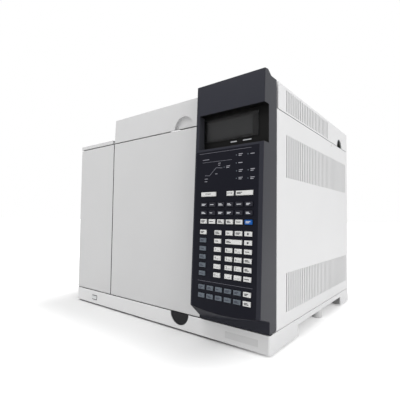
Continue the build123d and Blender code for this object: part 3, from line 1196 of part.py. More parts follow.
with BuildPart() as display_module:
    module_front = NOTCH_BACK + COVER_WALL
    block(
        (window_x[0] - LENS_RIM / 2, window_x[1] + LENS_RIM / 2),
        (module_front, module_front + MODULE_DEPTH),
        (window_z[0] - LENS_RIM, window_z[1] + LENS_RIM),
    )
    block(
        (window_x[0] + SEAT, window_x[1] - SEAT),
        (NOTCH_BACK + SEAT, module_front),
        (window_z[0] + SEAT, window_z[1] - SEAT),
    )
write(display_module, "display_module")

# ---------------------------------------------------------------- electronics
BOARD_X = BAY_RIGHT + SHEET + BOARD_OUT
BOARD_Y = (FRAME_Y + 2 * BOARD_OUT, REAR_IN - 2 * BOARD_OUT)
BOARD_Z = (FLOOR_TOP + 4 * BOARD_OUT, SIDE_TOP - BOARD_OUT)
with BuildPart() as main_board:
    block((BOARD_X, BOARD_X + BOARD_SHEET), BOARD_Y, BOARD_Z)
    for share, size, rise in CHIP_ROWS:
        chip_z = BOARD_Z[0] + share * (BOARD_Z[1] - BOARD_Z[0])
        for i in range(CHIPS_ACROSS):
            chip_y = BOARD_Y[0] + (i + 0.5) * (BOARD_Y[1] - BOARD_Y[0]) / CHIPS_ACROSS
            block(
                (BOARD_X + BOARD_SHEET, BOARD_X + BOARD_SHEET + rise),
                (chip_y - size / 2, chip_y + size / 2),
                (chip_z - size / 2, chip_z + size / 2),
            )
write(main_board, "main_board")

with BuildPart() as board_standoffs:
    for y in (BOARD_Y[0] + SCREW_HEAD, sum(BOARD_Y) / 2, BOARD_Y[1] - SCREW_HEAD):
        for z in (BOARD_Z[0] + SCREW_HEAD, BOARD_Z[1] - SCREW_HEAD):
            rod("X", (y, z), (BAY_RIGHT + SHEET, BOARD_X), SCREW_HEAD)
write(board_standoffs, "board_standoffs")

with BuildPart() as power_supply:
    supply_x = (GRILLE_X - SUPPLY_SIZE[0] / 2, GRILLE_X + SUPPLY_SIZE[0] / 2)
    supply_y = (COVER_Y + 2 * BOARD_OUT, COVER_Y + 2 * BOARD_OUT + SUPPLY_SIZE[1])
    supply_z = (FLOOR_TOP, FLOOR_TOP + SUPPLY_SIZE[2])
    pan(supply_x, supply_y, supply_z, SHEET, "-z")
    for i in range(SUPPLY_SLOTS):
        y = supply_y[0] + (i + 2) * 3 * SLOT_WIDTH
        block(
            (supply_x[0] + BOARD_OUT, supply_x[1] - BOARD_OUT),
            (y, y + SLOT_WIDTH),
            (supply_z[1] - SHEET, supply_z[1]),
            mode=Mode.SUBTRACT,
        )
write(power_supply, "power_supply")

TOROID_PLACE = ((BAY_LEFT - SHEET - SKIN_X + SIDE_WALL) / 2, REAR_IN - 2 * TOROID_RADIUS)
with BuildPart() as transformer:
    toroid_z = (FLOOR_TOP, FLOOR_TOP + TOROID_HEIGHT)
    rod("Z", TOROID_PLACE, toroid_z, TOROID_RADIUS)
    rod("Z", TOROID_PLACE, toroid_z, TOROID_HOLE, mode=Mode.SUBTRACT)
    fillet(transformer.edges(), BASE_CORNER)
write(transformer, "transformer")

with BuildPart() as screws:
    for sheet, outward, place in ((LEFT_X, -1, LEFT_SCREW), (RIGHT_X, 1, RIGHT_SCREW)):
        rod("X", place, sheet, SCREW_SHANK)
        head = outward * (SKIN_X + SCREW_RISE / 2)
        rod("X", place, (head - SCREW_RISE / 2, head + SCREW_RISE / 2), SCREW_HEAD)
    for place in REAR_SCREWS:
        rod("Y", place, (REAR_IN, BACK), SCREW_SHANK)
        rod("Y", place, (BACK, BACK + SCREW_RISE), SCREW_HEAD)
write(screws, "screws")
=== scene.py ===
import math

import bmesh
import bpy
from mathutils import Matrix, Vector


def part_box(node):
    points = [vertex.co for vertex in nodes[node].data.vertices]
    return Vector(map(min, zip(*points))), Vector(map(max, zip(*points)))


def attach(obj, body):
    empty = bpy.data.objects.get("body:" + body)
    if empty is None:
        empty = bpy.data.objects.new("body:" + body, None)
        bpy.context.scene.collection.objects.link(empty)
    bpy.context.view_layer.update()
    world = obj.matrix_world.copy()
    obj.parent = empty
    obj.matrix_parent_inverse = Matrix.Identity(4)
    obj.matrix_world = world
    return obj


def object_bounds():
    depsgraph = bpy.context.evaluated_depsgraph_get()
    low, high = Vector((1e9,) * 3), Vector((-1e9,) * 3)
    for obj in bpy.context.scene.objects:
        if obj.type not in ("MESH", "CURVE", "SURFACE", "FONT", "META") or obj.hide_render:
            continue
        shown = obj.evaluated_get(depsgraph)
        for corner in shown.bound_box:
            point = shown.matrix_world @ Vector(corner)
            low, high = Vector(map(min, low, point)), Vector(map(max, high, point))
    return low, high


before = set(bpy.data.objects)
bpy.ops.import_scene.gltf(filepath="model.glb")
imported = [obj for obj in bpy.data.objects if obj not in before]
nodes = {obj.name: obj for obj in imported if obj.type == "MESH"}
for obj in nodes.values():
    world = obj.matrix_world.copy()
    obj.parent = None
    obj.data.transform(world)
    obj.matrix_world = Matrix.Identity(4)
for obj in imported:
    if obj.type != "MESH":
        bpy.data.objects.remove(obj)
cad_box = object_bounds()

MM = 0.001

# ------------------------------------------------------------------ places read from the frame
DOOR_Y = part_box("door_panel")[0][1]  # the door's face
CONSOLE_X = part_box("console_housing")[0][0]
BASE_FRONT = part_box("base_chassis")[0][1]
LENS_LOW, LENS_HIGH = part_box("display_lens")
BOARD_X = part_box("main_board")[0][0]

# The console's leaning face: its lower and upper edges, in front of the door and above the bench.
FACE_LOW = (-32 * MM, 67 * MM)
FACE_HIGH = (-18.5 * MM, 482.7 * MM)
FACE_ORIGIN = Vector((CONSOLE_X, DOOR_Y + FACE_LOW[0], FACE_LOW[1]))
FACE_UP = Vector((0, FACE_HIGH[0] - FACE_LOW[0], FACE_HIGH[1] - FACE_LOW[1])).normalized()
FACE_ACROSS = Vector((1, 0, 0))
FACE_OUT = FACE_ACROSS.cross(FACE_UP)
FACE_MATRIX = Matrix((FACE_ACROSS, FACE_UP, FACE_OUT)).transposed().to_4x4()
FACE_MATRIX.translation = FACE_ORIGIN

PRINT_RISE = 0.12 * MM  # printed marks above the surface that carries them


# ------------------------------------------------------------------ materials
def new_material(name):
    """An empty node material with its output, its shader and object coordinates."""
    material = bpy.data.materials.new(name)
    material.use_nodes = True
    tree = material.node_tree
    tree.nodes.clear()
    output = tree.nodes.new("ShaderNodeOutputMaterial")
    shader = tree.nodes.new("ShaderNodeBsdfPrincipled")
    coordinates = tree.nodes.new("ShaderNodeTexCoord")
    tree.links.new(shader.outputs["BSDF"], output.inputs["Surface"])
    return material, tree, shader, coordinates


def noise(tree, coordinates, scale, detail=3.0, stretch=(1, 1, 1)):
    """Noise over object coordinates, with so many features a metre."""
    mapping = tree.nodes.new("ShaderNodeMapping")
    mapping.inputs["Scale"].default_value = stretch
    texture = tree.nodes.new("ShaderNodeTexNoise")
    texture.inputs["Scale"].default_value = scale
    texture.inputs["Detail"].default_value = detail
    tree.links.new(coordinates.outputs["Object"], mapping.inputs["Vector"])
    tree.links.new(mapping.outputs["Vector"], texture.inputs["Vector"])
    return texture.outputs["Fac"]


def spread(tree, value, low, high):
    """Maps a 0 to 1 value onto low to high."""
    mapped = tree.nodes.new("ShaderNodeMapRange")
    mapped.inputs["From Min"].default_value = 0.25
    mapped.inputs["From Max"].default_value = 0.75
    mapped.inputs["To Min"].default_value = low
    mapped.inputs["To Max"].default_value = high
    tree.links.new(value, mapped.inputs["Value"])
    return mapped.outputs["Result"]


def two_tone(tree, value, first, second):
    """Blends two colours by a 0 to 1 value."""
    ramp = tree.nodes.new("ShaderNodeValToRGB")
    ramp.color_ramp.elements[0].position = 0.3
    ramp.color_ramp.elements[0].color = (*first, 1)
    ramp.color_ramp.elements[1].position = 0.7
    ramp.color_ramp.elements[1].color = (*second, 1)
    tree.links.new(value, ramp.inputs["Fac"])
    return ramp.outputs["Color"]


def relief(tree, shader, value, depth, softened=0.0):
    """Bump of so many metres; softened rounds sharp edges by that radius."""
    bump = tree.nodes.new("ShaderNodeBump")
    bump.inputs["Strength"].default_value = 1.0
    bump.inputs["Distance"].default_value = depth
    tree.links.new(value, bump.inputs["Height"])
    if softened:
        edge = tree.nodes.new("ShaderNodeBevel")
        edge.samples = 4
        edge.inputs["Radius"].default_value = softened
        tree.links.new(edge.outputs["Normal"], bump.inputs["Normal"])
    tree.links.new(bump.outputs["Normal"], shader.inputs["Normal"])


def shaded(colour, amount):
    """The colour made darker, below 1, or lighter, above 1."""
    return tuple(min(1.0, channel * amount) for channel in colour)


def coated(name, colour, rough, shine=0.5, variation=0.04, grain=1400, depth=0.00003, softened=0.0004):
    """Paint or moulded plastic: faint blotches in its colour and a fine grain in its gloss and surface."""
    material, tree, shader, coordinates = new_material(name)
    blotches = noise(tree, coordinates, 7.0, detail=4.0)
    fine = noise(tree, coordinates, grain, detail=2.0)
    tint = two_tone(tree, blotches, shaded(colour, 1 - variation), shaded(colour, 1 + variation))
    tree.links.new(tint, shader.inputs["Base Color"])
    tree.links.new(spread(tree, fine, rough - 0.05, rough + 0.05), shader.inputs["Roughness"])
    shader.inputs["Specular IOR Level"].default_value = shine
    relief(tree, shader, fine, depth, softened=softened)
    return material


def brushed(name, colour, rough, stretch=(1, 1, 40), depth=0.00002):
    """Metal with fine lines along one direction."""
    material, tree, shader, coordinates = new_material(name)
    lines = noise(tree, coordinates, 60.0, detail=6.0, stretch=stretch)
    tint = two_tone(tree, lines, shaded(colour, 0.86), shaded(colour, 1.1))
    tree.links.new(tint, shader.inputs["Base Color"])
    tree.links.new(spread(tree, lines, rough - 0.08, rough + 0.1), shader.inputs["Roughness"])
    shader.inputs["Metallic"].default_value = 1.0
    relief(tree, shader, lines, depth, softened=0.3 * MM)
    return material


def woolly(name, colour):
    """Mineral wool: matted fibres."""
    material, tree, shader, coordinates = new_material(name)
    fibres = noise(tree, coordinates, 90.0, detail=8.0, stretch=(1, 4, 1))
    tint = two_tone(tree, fibres, shaded(colour, 0.7), shaded(colour, 1.1))
    tree.links.new(tint, shader.inputs["Base Color"])
    tree.links.new(spread(tree, fibres, 0.85, 1.0), shader.inputs["Roughness"])
    relief(tree, shader, fibres, 1.5 * MM)
    return material


def wound(name, colour, turns, rough, metallic, direction="Y"):
    """Closely wound wire or braid: bands with a little noise."""
    material, tree, shader, coordinates = new_material(name)
    wave = tree.nodes.new("ShaderNodeTexWave")
    wave.bands_direction = direction
    wave.inputs["Scale"].default_value = turns
    wave.inputs["Distortion"].default_value = 1.5
    wave.inputs["Detail"].default_value = 1.0
    tree.links.new(coordinates.outputs["Object"], wave.inputs["Vector"])
    bands = wave.outputs["Fac"]
    tint = two_tone(tree, bands, shaded(colour, 0.55), shaded(colour, 1.1))
    tree.links.new(tint, shader.inputs["Base Color"])
    tree.links.new(spread(tree, bands, rough - 0.1, rough + 0.1), shader.inputs["Roughness"])
    shader.inputs["Metallic"].default_value = metallic
    relief(tree, shader, bands, 0.6 * MM)
    return material


def compute(tree, operation, *values):
    """One arithmetic node; each value is a number or another node's output."""
    node = tree.nodes.new("ShaderNodeMath")
    node.operation = operation
    for value, socket in zip(values, node.inputs):
        if isinstance(value, (int, float)):
            socket.default_value = value
        else:
            tree.links.new(value, socket)
    return node.outputs["Value"]


def within(tree, value, low, high):
    """1 where a value lies between two bounds."""
    return compute(tree, "COMPARE", value, (low + high) / 2, (high - low) / 2)


def axes(tree, coordinates):
    """The object coordinates, one output for each axis."""
    place = tree.nodes.new("ShaderNodeSeparateXYZ")
    tree.links.new(coordinates.outputs["Object"], place.inputs["Vector"])
    return place.outputs


def blend(tree, amount, first, second):
    """The first colour where the amount is 0, the second where it is 1."""
    mixed = tree.nodes.new("ShaderNodeMix")
    mixed.data_type = "RGBA"
    tree.links.new(amount, mixed.inputs["Factor"])
    tree.links.new(first, mixed.inputs["A"])
    tree.links.new(second, mixed.inputs["B"])
    return mixed.outputs["Result"]


def console_face_paint(margin, membrane, across, up):
    """Dark moulding whose face carries a smoother, darker keypad membrane in one rectangle."""
    material, tree, shader, coordinates = new_material("console_face")
    fine = noise(tree, coordinates, 2200, detail=2.0)
    blotches = noise(tree, coordinates, 6.0)
    place = axes(tree, coordinates)
    inside_x = within(tree, place["X"], *across)
    inside_z = within(tree, place["Z"], *up)
    inside = compute(tree, "MULTIPLY", inside_x, inside_z)
    moulding = two_tone(tree, blotches, shaded(margin, 0.95), shaded(margin, 1.05))
    sheet = two_tone(tree, blotches, shaded(membrane, 0.95), shaded(membrane, 1.05))
    tree.links.new(blend(tree, inside, moulding, sheet), shader.inputs["Base Color"])
    tree.links.new(spread(tree, fine, 0.42, 0.52), shader.inputs["Roughness"])
    shader.inputs["Specular IOR Level"].default_value = 0.1
    relief(tree, shader, fine, 0.02 * MM, softened=2 * MM)
    return material


def base_deck_paint(shade, paint, front):
    """The base's top: painted shade, dark, in the gap behind the front edge where shade falls; plain paint
    farther back.
    """
    material, tree, shader, coordinates = new_material("base_deck_with_painted_shade")
    fine = noise(tree, coordinates, 1400)
    in_painted_shade = within(tree, axes(tree, coordinates)["Y"], *front)
    plain = two_tone(tree, fine, shaded(paint, 0.98), shaded(paint, 1.02))
    painted_dark = two_tone(tree, fine, shaded(shade, 0.9), shaded(shade, 1.1))
    tree.links.new(blend(tree, in_painted_shade, plain, painted_dark), shader.inputs["Base Color"])
    tree.links.new(spread(tree, fine, 0.5, 0.6), shader.inputs["Roughness"])
    relief(tree, shader, fine, 0.03 * MM)
    return material


def tinted_glass(name, colour, rough):
    """A smoked window that lets some of what is behind it show."""
    material, tree, shader, coordinates = new_material(name)
    smears = noise(tree, coordinates, 25.0)
    tint = two_tone(tree, smears, shaded(colour, 0.9), shaded(colour, 1.1))
    tree.links.new(tint, shader.inputs["Base Color"])
    tree.links.new(spread(tree, smears, rough, rough + 0.06), shader.inputs["Roughness"])
    shader.inputs["Alpha"].default_value = 0.45
    return material


MEMBRANE_ACROSS = (CONSOLE_X + 3.5 * MM, CONSOLE_X + 137 * MM)
MEMBRANE_UP = (60 * MM, 354 * MM)
MARGIN_COLOUR = (0.025, 0.026, 0.035)
MEMBRANE_COLOUR = (0.0035, 0.0038, 0.0085)
# painted shade: the dark colour given to edge faces and to the base's top where they sit in the gaps
# between panels
PAINTED_GAP_SHADE = (0.012, 0.015, 0.019)
SIDE_COLOUR = (0.77, 0.77, 0.775)
# painted shade: dark over the span of the base's top that the front gap shows
FRONT_GAP_SHADE_SPAN = (DOOR_Y - 30 * MM, DOOR_Y + 12 * MM)  # the part of the base's top that the front gap shows

panel_grey = coated("panel_grey", (0.63, 0.63, 0.632), 0.5, shine=0.3, variation=0.012)
cover_grey = coated("cover_grey", (0.65, 0.65, 0.653), 0.5, shine=0.3, variation=0.012)
side_white = coated("side_white", (0.74, 0.74, 0.744), 0.5, variation=0.012)
base_paint = coated("base_paint", (0.77, 0.77, 0.772), 0.5, shine=0.3, variation=0.012)
console_face = console_face_paint(MARGIN_COLOUR, MEMBRANE_COLOUR, MEMBRANE_ACROSS, MEMBRANE_UP)
console_side = coated("console_side", (0.036, 0.037, 0.044), 0.5, shine=0.2, variation=0.04, softened=0.002)
# painted shade: the display recess's ceiling and back wall are painted near black
painted_recess_shade = coated("painted_recess_shade", (0.003, 0.003, 0.003), 0.6, shine=0.1, variation=0.1)
# painted shade for the edge faces in the gaps between the panels
painted_seam_shade = coated("painted_seam_shade", PAINTED_GAP_SHADE, 0.6, shine=0.1, variation=0.1)
# painted shade on the base's top in the front gap, plain paint behind it
base_deck_with_painted_shade = base_deck_paint(PAINTED_GAP_SHADE, SIDE_COLOUR, FRONT_GAP_SHADE_SPAN)
key_white = coated("key_white", (0.70, 0.70, 0.69), 0.5, variation=0.03)
key_grey = coated("key_grey", (0.115, 0.135, 0.160), 0.5, shine=0.25, variation=0.05)
key_dark = coated("key_dark", (0.020, 0.020, 0.028), 0.5, shine=0.15, variation=0.08)
key_blue = coated("key_blue", (0.004, 0.090, 0.37), 0.45, shine=0.25, variation=0.05)
black_plastic = coated("black_plastic", (0.010, 0.010, 0.012), 0.5, shine=0.2, variation=0.1)
switch_white = coated("switch_white", (0.72, 0.73, 0.74), 0.3, variation=0.02)
chassis_paint = coated("chassis_paint", (0.020, 0.021, 0.023), 0.5, variation=0.03)
rear_paint = coated("rear_paint", (0.60, 0.60, 0.61), 0.5, variation=0.02)
foot_rubber = coated("foot_rubber", (0.70, 0.70, 0.70), 0.8, variation=0.06, grain=700, depth=0.0001)
steel = brushed("steel", (0.62, 0.61, 0.59), 0.32)
dark_steel = brushed("dark_steel", (0.30, 0.27, 0.25), 0.45, stretch=(30, 1, 1))
bright_steel = brushed("bright_steel", (0.74, 0.73, 0.71), 0.22, stretch=(1, 30, 1))
aluminium = brushed("aluminium", (0.80, 0.80, 0.81), 0.38, stretch=(1, 1, 25))
brass = brushed("brass", (0.72, 0.50, 0.20), 0.3)
wool = woolly("wool", (0.74, 0.71, 0.62))
seal_braid = wound("seal_braid", (0.32, 0.31, 0.30), 140.0, 0.8, 0.0, "Z")
column_winding = wound("column_winding", (0.36, 0.17, 0.05), 260.0, 0.3, 0.0, "Y")
toroid_wrap = wound("toroid_wrap", (0.50, 0.36, 0.07), 110.0, 0.45, 0.0, "DIAGONAL")
ceramic = coated("ceramic", (0.76, 0.72, 0.66), 0.65, variation=0.05)
motor_paint = coated("motor_paint", (0.025, 0.025, 0.027), 0.5, variation=0.1)
board_green = coated("board_green", (0.010, 0.14, 0.045), 0.35, variation=0.1)
chip_black = coated("chip_black", (0.02, 0.02, 0.02), 0.5, variation=0.08)
screen_dark = coated("screen_dark", (0.085, 0.090, 0.092), 0.5, shine=0.2, variation=0.03, depth=0.000002)
lens_smoke = tinted_glass("lens_smoke", (0.012, 0.012, 0.013), 0.25)
print_white = coated("print_white", (0.62, 0.63, 0.66), 0.55, variation=0.05)
print_dim = coated("print_dim", (0.16, 0.16, 0.19), 0.55, variation=0.05)
print_deep = coated("print_deep", (0.022, 0.026, 0.045), 0.55, variation=0.05)
print_soft = coated("print_soft", (0.36, 0.36, 0.37), 0.55, variation=0.05)
print_mid = coated("print_mid", (0.34, 0.34, 0.38), 0.55, variation=0.05)
print_dark = coated("print_dark", (0.03, 0.03, 0.035), 0.55, variation=0.05)
plate_grey = coated("plate_grey", (0.66, 0.66, 0.66), 0.4, variation=0.02)

NODE_MATERIALS = {
    "base_chassis": base_paint,
    "feet": foot_rubber,
    "inner_frame": chassis_paint,
    "hinge_pins": bright_steel,
    "left_front_panel": panel_grey,
    "left_side_panel": side_white,
    "left_top_cover": cover_grey,
    "right_side_panel": side_white,
    "electronics_cover": side_white,
    "rear_panel": rear_paint,
    "power_inlet": black_plastic,
    "signal_sockets": black_plastic,
    "cooling_fan_frame": black_plastic,
    "cooling_fan_rotor": black_plastic,
    "door_panel": panel_grey,
    "door_liner": steel,
    "door_insulation": wool,
    "door_seal": seal_braid,
    "latch_guide": black_plastic,
    "latch_bolt": bright_steel,
    "door_button": black_plastic,
    "switch_body": black_plastic,
    "power_switch": switch_white,
    "top_lid": cover_grey,
    "rear_top_cover": cover_grey,
    "oven_liner": steel,
    "oven_insulation": wool,
    "air_ducts": aluminium,
    "oven_flaps": steel,
    "flap_motor": motor_paint,
    "oven_fan": steel,
    "fan_motor": motor_paint,
    "fan_shroud": steel,
    "heater_posts": ceramic,
    "heater_coils": dark_steel,
    "column": column_winding,
    "column_hanger": bright_steel,
    "column_nuts": brass,
    "inlets": bright_steel,
    "septum_nuts": bright_steel,
    "detectors": aluminium,
    "flow_modules": aluminium,
    "gas_fittings": brass,
    "console_housing": console_face,
    "display_lens": lens_smoke,
    "display_module": screen_dark,
    "key_board": board_green,
    "start_key": key_white,
    "stop_key": key_white,
    "prep_run_key": key_white,
    "status_keys": key_dark,
    "info_key": key_blue,
    "command_keys": key_white,
    "number_keys": key_white,
    "setting_keys": key_grey,
    "main_board": board_green,
    "board_standoffs": brass,
    "power_supply": aluminium,
    "transformer": toroid_wrap,
    "screws": bright_steel,
}
for node_name, node_material in NODE_MATERIALS.items():
    node_mesh = nodes[node_name].data
    node_mesh.materials.clear()
    node_mesh.materials.append(node_material)


EDGE_DEPTH = 0.5 * MM  # how far an edge face may lie from the limit of its part's box
FACING = 0.7  # how nearly a face has to look along an axis
FLAT_ON = 0.9  # the same for an edge face, which leaves out its rounded corners
BOARD_SHEET = 1.6 * MM
NOTCH_MARGIN = 12 * MM  # the display's recess, above and below its lens
NOTCH_WALL = (LENS_HIGH[1] - 3 * MM, LENS_HIGH[1] + 2 * MM)  # depths at which its back wall lies
LEFT_OF_CONSOLE = 0.2


def on_edge(face, high):
    """True for a top or right-hand edge face at the limit of a part's box, where a gap shows it; these
    faces get painted shade.
    """
    top = face.normal.z > FLAT_ON and face.center.z > high[2] - EDGE_DEPTH
    right = face.normal.x > FLAT_ON and face.center.x > high[0] - EDGE_DEPTH
    return top or right and high[0] < LEFT_OF_CONSOLE


def in_notch(face):
    """True for the ceiling and the back wall of the display's recess, which are painted near black as
    painted shade.
    """
    if not LENS_LOW[2] - NOTCH_MARGIN < face.center.z < LENS_HIGH[2] + NOTCH_MARGIN:
        return False
    back_wall = face.normal.y < -FACING and NOTCH_WALL[0] < face.center.y < NOTCH_WALL[1]
    return back_wall or face.normal.z < -FACING


def faces_right(face):
    """True for a face that looks to the right."""
    return face.normal.x > FACING


def paint_faces(node_name, material, chosen):
    """Gives a second material to the faces of a node that are chosen."""
    mesh = nodes[node_name].data
    mesh.materials.append(material)
    index = len(mesh.materials) - 1
    for face in mesh.polygons:
        if chosen(face):
            face.material_index = index


# chips on the main board stand above its sheet
paint_faces("main_board", chip_black, lambda face: face.center.x > BOARD_X + 1.1 * BOARD_SHEET)
# the console's outer side is a lighter grey than its face, and the base's right side is near white
paint_faces("console_housing", console_side, faces_right)
paint_faces("base_chassis", side_white, faces_right)
# painted shade: the display's recess is painted black, and so are the edges seen in the gaps between the
# panels, where shade falls
paint_faces("console_housing", painted_recess_shade, in_notch)
for node_name, shade in (
    ("door_panel", painted_seam_shade),
    ("left_front_panel", painted_seam_shade),
    ("right_side_panel", painted_seam_shade),
    ("base_chassis", base_deck_with_painted_shade),
):
    box_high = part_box(node_name)[1]
    paint_faces(node_name, shade, lambda face: on_edge(face, box_high))


# ------------------------------------------------------------------ pieces
def add_piece(name, mesh, material, body):
    """Adds a mesh as a piece that rides on a body."""
    mesh.materials.clear()
    mesh.materials.append(material)
    piece = bpy.data.objects.new(name, mesh)
    bpy.context.scene.collection.objects.link(piece)
    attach(piece, body)
    return piece


def add_tile(target, low, high, rise, place=FACE_MATRIX, thickness=PRINT_RISE / 2):
    """A thin rectangular tile from low to high, rise above the plane that place gives."""
    corners = [(low[0], low[1]), (high[0], low[1]), (high[0], high[1]), (low[0], high[1])]
    lower = [target.verts.new(place @ Vector((x, y, rise))) for x, y in corners]
    upper = [target.verts.new(place @ Vector((x, y, rise + thickness))) for x, y in corners]
    target.faces.new(upper)
    target.faces.new(lower[::-1])
    for i in range(4):
        j = (i + 1) % 4
        target.faces.new((lower[i], lower[j], upper[j], upper[i]))


def add_stroke(target, points, width, rise, place=FACE_MATRIX):
    """A printed line of constant width through the points."""
    for start, end in zip(points, points[1:]):
        along = (Vector(end) - Vector(start)).normalized()
        side = Vector((-along.y, along.x)) * width / 2
        tip = along * width / 2
        first = Vector(start) - tip
        last = Vector(end) + tip
        outline = [first - side, last - side, last + side, first + side]
        corners = [target.verts.new(place @ Vector((*point, rise))) for point in outline]
        target.faces.new(corners)


def add_words(target, words, size, centre, rise, place=FACE_MATRIX):
    """Short text as flat faces, centred on a point of the plane."""
    curve = bpy.data.curves.new("words", "FONT")
    curve.body = words
    curve.size = size
    curve.align_x = "CENTER"
    curve.align_y = "CENTER"
    holder = bpy.data.objects.new("words", curve)
    mesh = bpy.data.meshes.new_from_object(holder)
    mesh.transform(place @ Matrix.Translation((centre[0], centre[1], rise)))
    target.from_mesh(mesh)
    bpy.data.objects.remove(holder)
    bpy.data.curves.remove(curve)
    bpy.data.meshes.remove(mesh)


def finish_piece(name, target, material, body):
    """Turns the gathered faces into a piece."""
    mesh = bpy.data.meshes.new(name)
    target.to_mesh(mesh)
    target.free()
    return add_piece(name, mesh, material, body)


def key_places(node_name):
    """Centre, size and top of each key of a node, on the console's face, from the top row down."""
    gathered = bmesh.new()
    gathered.from_mesh(nodes[node_name].data)
    bmesh.ops.remove_doubles(gathered, verts=gathered.verts, dist=0.01 * MM)
    to_face = FACE_MATRIX.inverted()
    seen = set()
    keys = []
    for vertex in gathered.verts:
        if vertex in seen:
            continue
        island = []
        waiting = [vertex]
        seen.add(vertex)
        while waiting:
            current = waiting.pop()
            island.append(to_face @ current.co)
            for edge in current.link_edges:
                other = edge.other_vert(current)
                if other not in seen:
                    seen.add(other)
                    waiting.append(other)
        top = max(point.z for point in island)
        cap = [point for point in island if point.z > top - 0.1 * MM]
        across = [point.x for point in cap]
        up = [point.y for point in cap]
        keys.append(
            {
                "centre": ((min(across) + max(across)) / 2, (min(up) + max(up)) / 2),
                "width": max(across) - min(across),
                "top": top,
            }
        )
    gathered.free()
    return sorted(keys, key=lambda key: (-round(key["centre"][1] / (5 * MM)), key["centre"][0]))


# printed legends: digits on the number keys, START and STOP, and short bars in place of other words
DIGITS = "7894561230.-"
DIGIT_SIZE = 6.4 * MM
LEGEND_HEIGHT = 1.3 * MM
LEGEND_GAP = 1.0 * MM
LEGEND_MARGIN = 1.8 * MM
LEGEND_LENGTH = 11 * MM
SQUARE_KEY_ROWS = (118 * MM, 142 * MM)  # up the face: the two keys that carry a square
SQUARE_KEY_LEFT = 115 * MM
SQUARE_HALF = 1.6 * MM
DIGIT_SHIFT = 3.4 * MM
LETTERS_LOW = (-0.6 * MM, -1.6 * MM)  # the small line beside a digit, from the key's centre
LETTERS_HIGH = (4.6 * MM, -0.6 * MM)
WORD_SIZE = 4.4 * MM


def add_legend_bars(target, key, index):
    """One or two short bars in the place of a word on a key."""
    x, y = key["centre"]
    rise = key["top"] + PRINT_RISE
    if key["square"]:
        add_tile(target, (x - SQUARE_HALF, y - SQUARE_HALF), (x + SQUARE_HALF, y + SQUARE_HALF), rise)
        return
    start = x - key["width"] / 2 + LEGEND_MARGIN
    room = min(key["width"] - 2 * LEGEND_MARGIN, LEGEND_LENGTH)
    rows = (0.0,) if index % 3 == 1 else (LEGEND_GAP, -LEGEND_GAP)
    for row, shift in enumerate(rows):
        reach = room * (0.95 - 0.12 * ((index + 2 * row) % 4))
        low = (start, y + shift - LEGEND_HEIGHT / 2)
        high = (start + reach, y + shift + LEGEND_HEIGHT / 2)
        add_tile(target, low, high, rise)


def has_square(key):
    """True for the two keys at the right of the number block's upper rows."""
    x, y = key["centre"]
    return x > SQUARE_KEY_LEFT and SQUARE_KEY_ROWS[0] < y < SQUARE_KEY_ROWS[1]


for node_name, body, ink in (
    ("prep_run_key", "prep_run", print_dark),
    ("status_keys", "status_keypad", print_white),
    ("info_key", "info", print_white),
    ("command_keys", "command_keypad", print_dark),
    ("setting_keys", "setting_keypad", print_deep),
):
    marks = bmesh.new()
    for index, key in enumerate(key_places(node_name)):
        key["square"] = node_name == "command_keys" and has_square(key)
        add_legend_bars(marks, key, index)
    finish_piece(node_name.replace("keys", "key") + "_legends", marks, ink, body)

digits = bmesh.new()
letters = bmesh.new()
for digit, key in zip(DIGITS, key_places("number_keys")):
    x, y = key["centre"]
    rise = key["top"] + PRINT_RISE
    add_words(digits, digit, DIGIT_SIZE, (x - DIGIT_SHIFT, y), rise)
    low = (x + LETTERS_LOW[0], y + LETTERS_LOW[1])
    high = (x + LETTERS_HIGH[0], y + LETTERS_HIGH[1])
    add_tile(letters, low, high, rise)
finish_piece("number_key_digits", digits, print_dark, "number_keypad")
finish_piece("number_key_letters", letters, print_soft, "number_keypad")

for node_name, body, word in (("start_key", "start", "START"), ("stop_key", "stop", "STOP")):
    marks = bmesh.new()
    for key in key_places(node_name):
        add_words(marks, word, WORD_SIZE, key["centre"], key["top"] + PRINT_RISE)
    finish_piece(node_name + "_legend", marks, print_dark, body)


def face_point(x, z):
    """A point of the console's face from its row X and its height, both in millimetres."""
    return ((x * MM - CONSOLE_X), (z * MM - FACE_LOW[1]) / FACE_UP.z)


# printed panel above the keys: rules, heading and temperature trace, as X and height in millimetres
RULE_WIDTH = 0.5 * MM
TRACE_WIDTH = 0.8 * MM
STROKES = [
    ([(155, 350), (266, 350)], RULE_WIDTH),
    ([(163, 333), (228, 333)], RULE_WIDTH),
    ([(169.5, 308.4), (180, 307.6), (194.2, 321.3), (207.5, 320)], TRACE_WIDTH),
    ([(161, 116.3), (274, 116.3)], RULE_WIDTH),
]
HEADING = (163, 337.2)
HEADING_LENGTH = 15 * MM
HEADING_HEIGHT = 1.4 * MM
marks = bmesh.new()
for points, width in STROKES:
    add_stroke(marks, [face_point(*point) for point in points], width, PRINT_RISE)
heading = face_point(*HEADING)
add_tile(marks, heading, (heading[0] + HEADING_LENGTH, heading[1] + HEADING_HEIGHT), PRINT_RISE)
finish_piece("console_rules", marks, print_dim, "casing_and_oven")

# each lamp: its place, and how many short lines stand for its name
LAMPS = [
    ((212, 321), 2),
    ((237, 340), 2),
    ((237, 326), 1),
    ((238, 312), 2),
    ((238, 299), 2),
    ((260, 339.5), 1),
    ((261, 312), 2),
    ((261, 298), 2),
]
LAMP_RADIUS = 1.0 * MM
NAME_SHIFT = 4.5 * MM
NAME_LENGTHS = (8.0 * MM, 6.0 * MM)
NAME_HALF = 0.6 * MM  # half the height of a name's line
NAME_STEP = 2.6 * MM
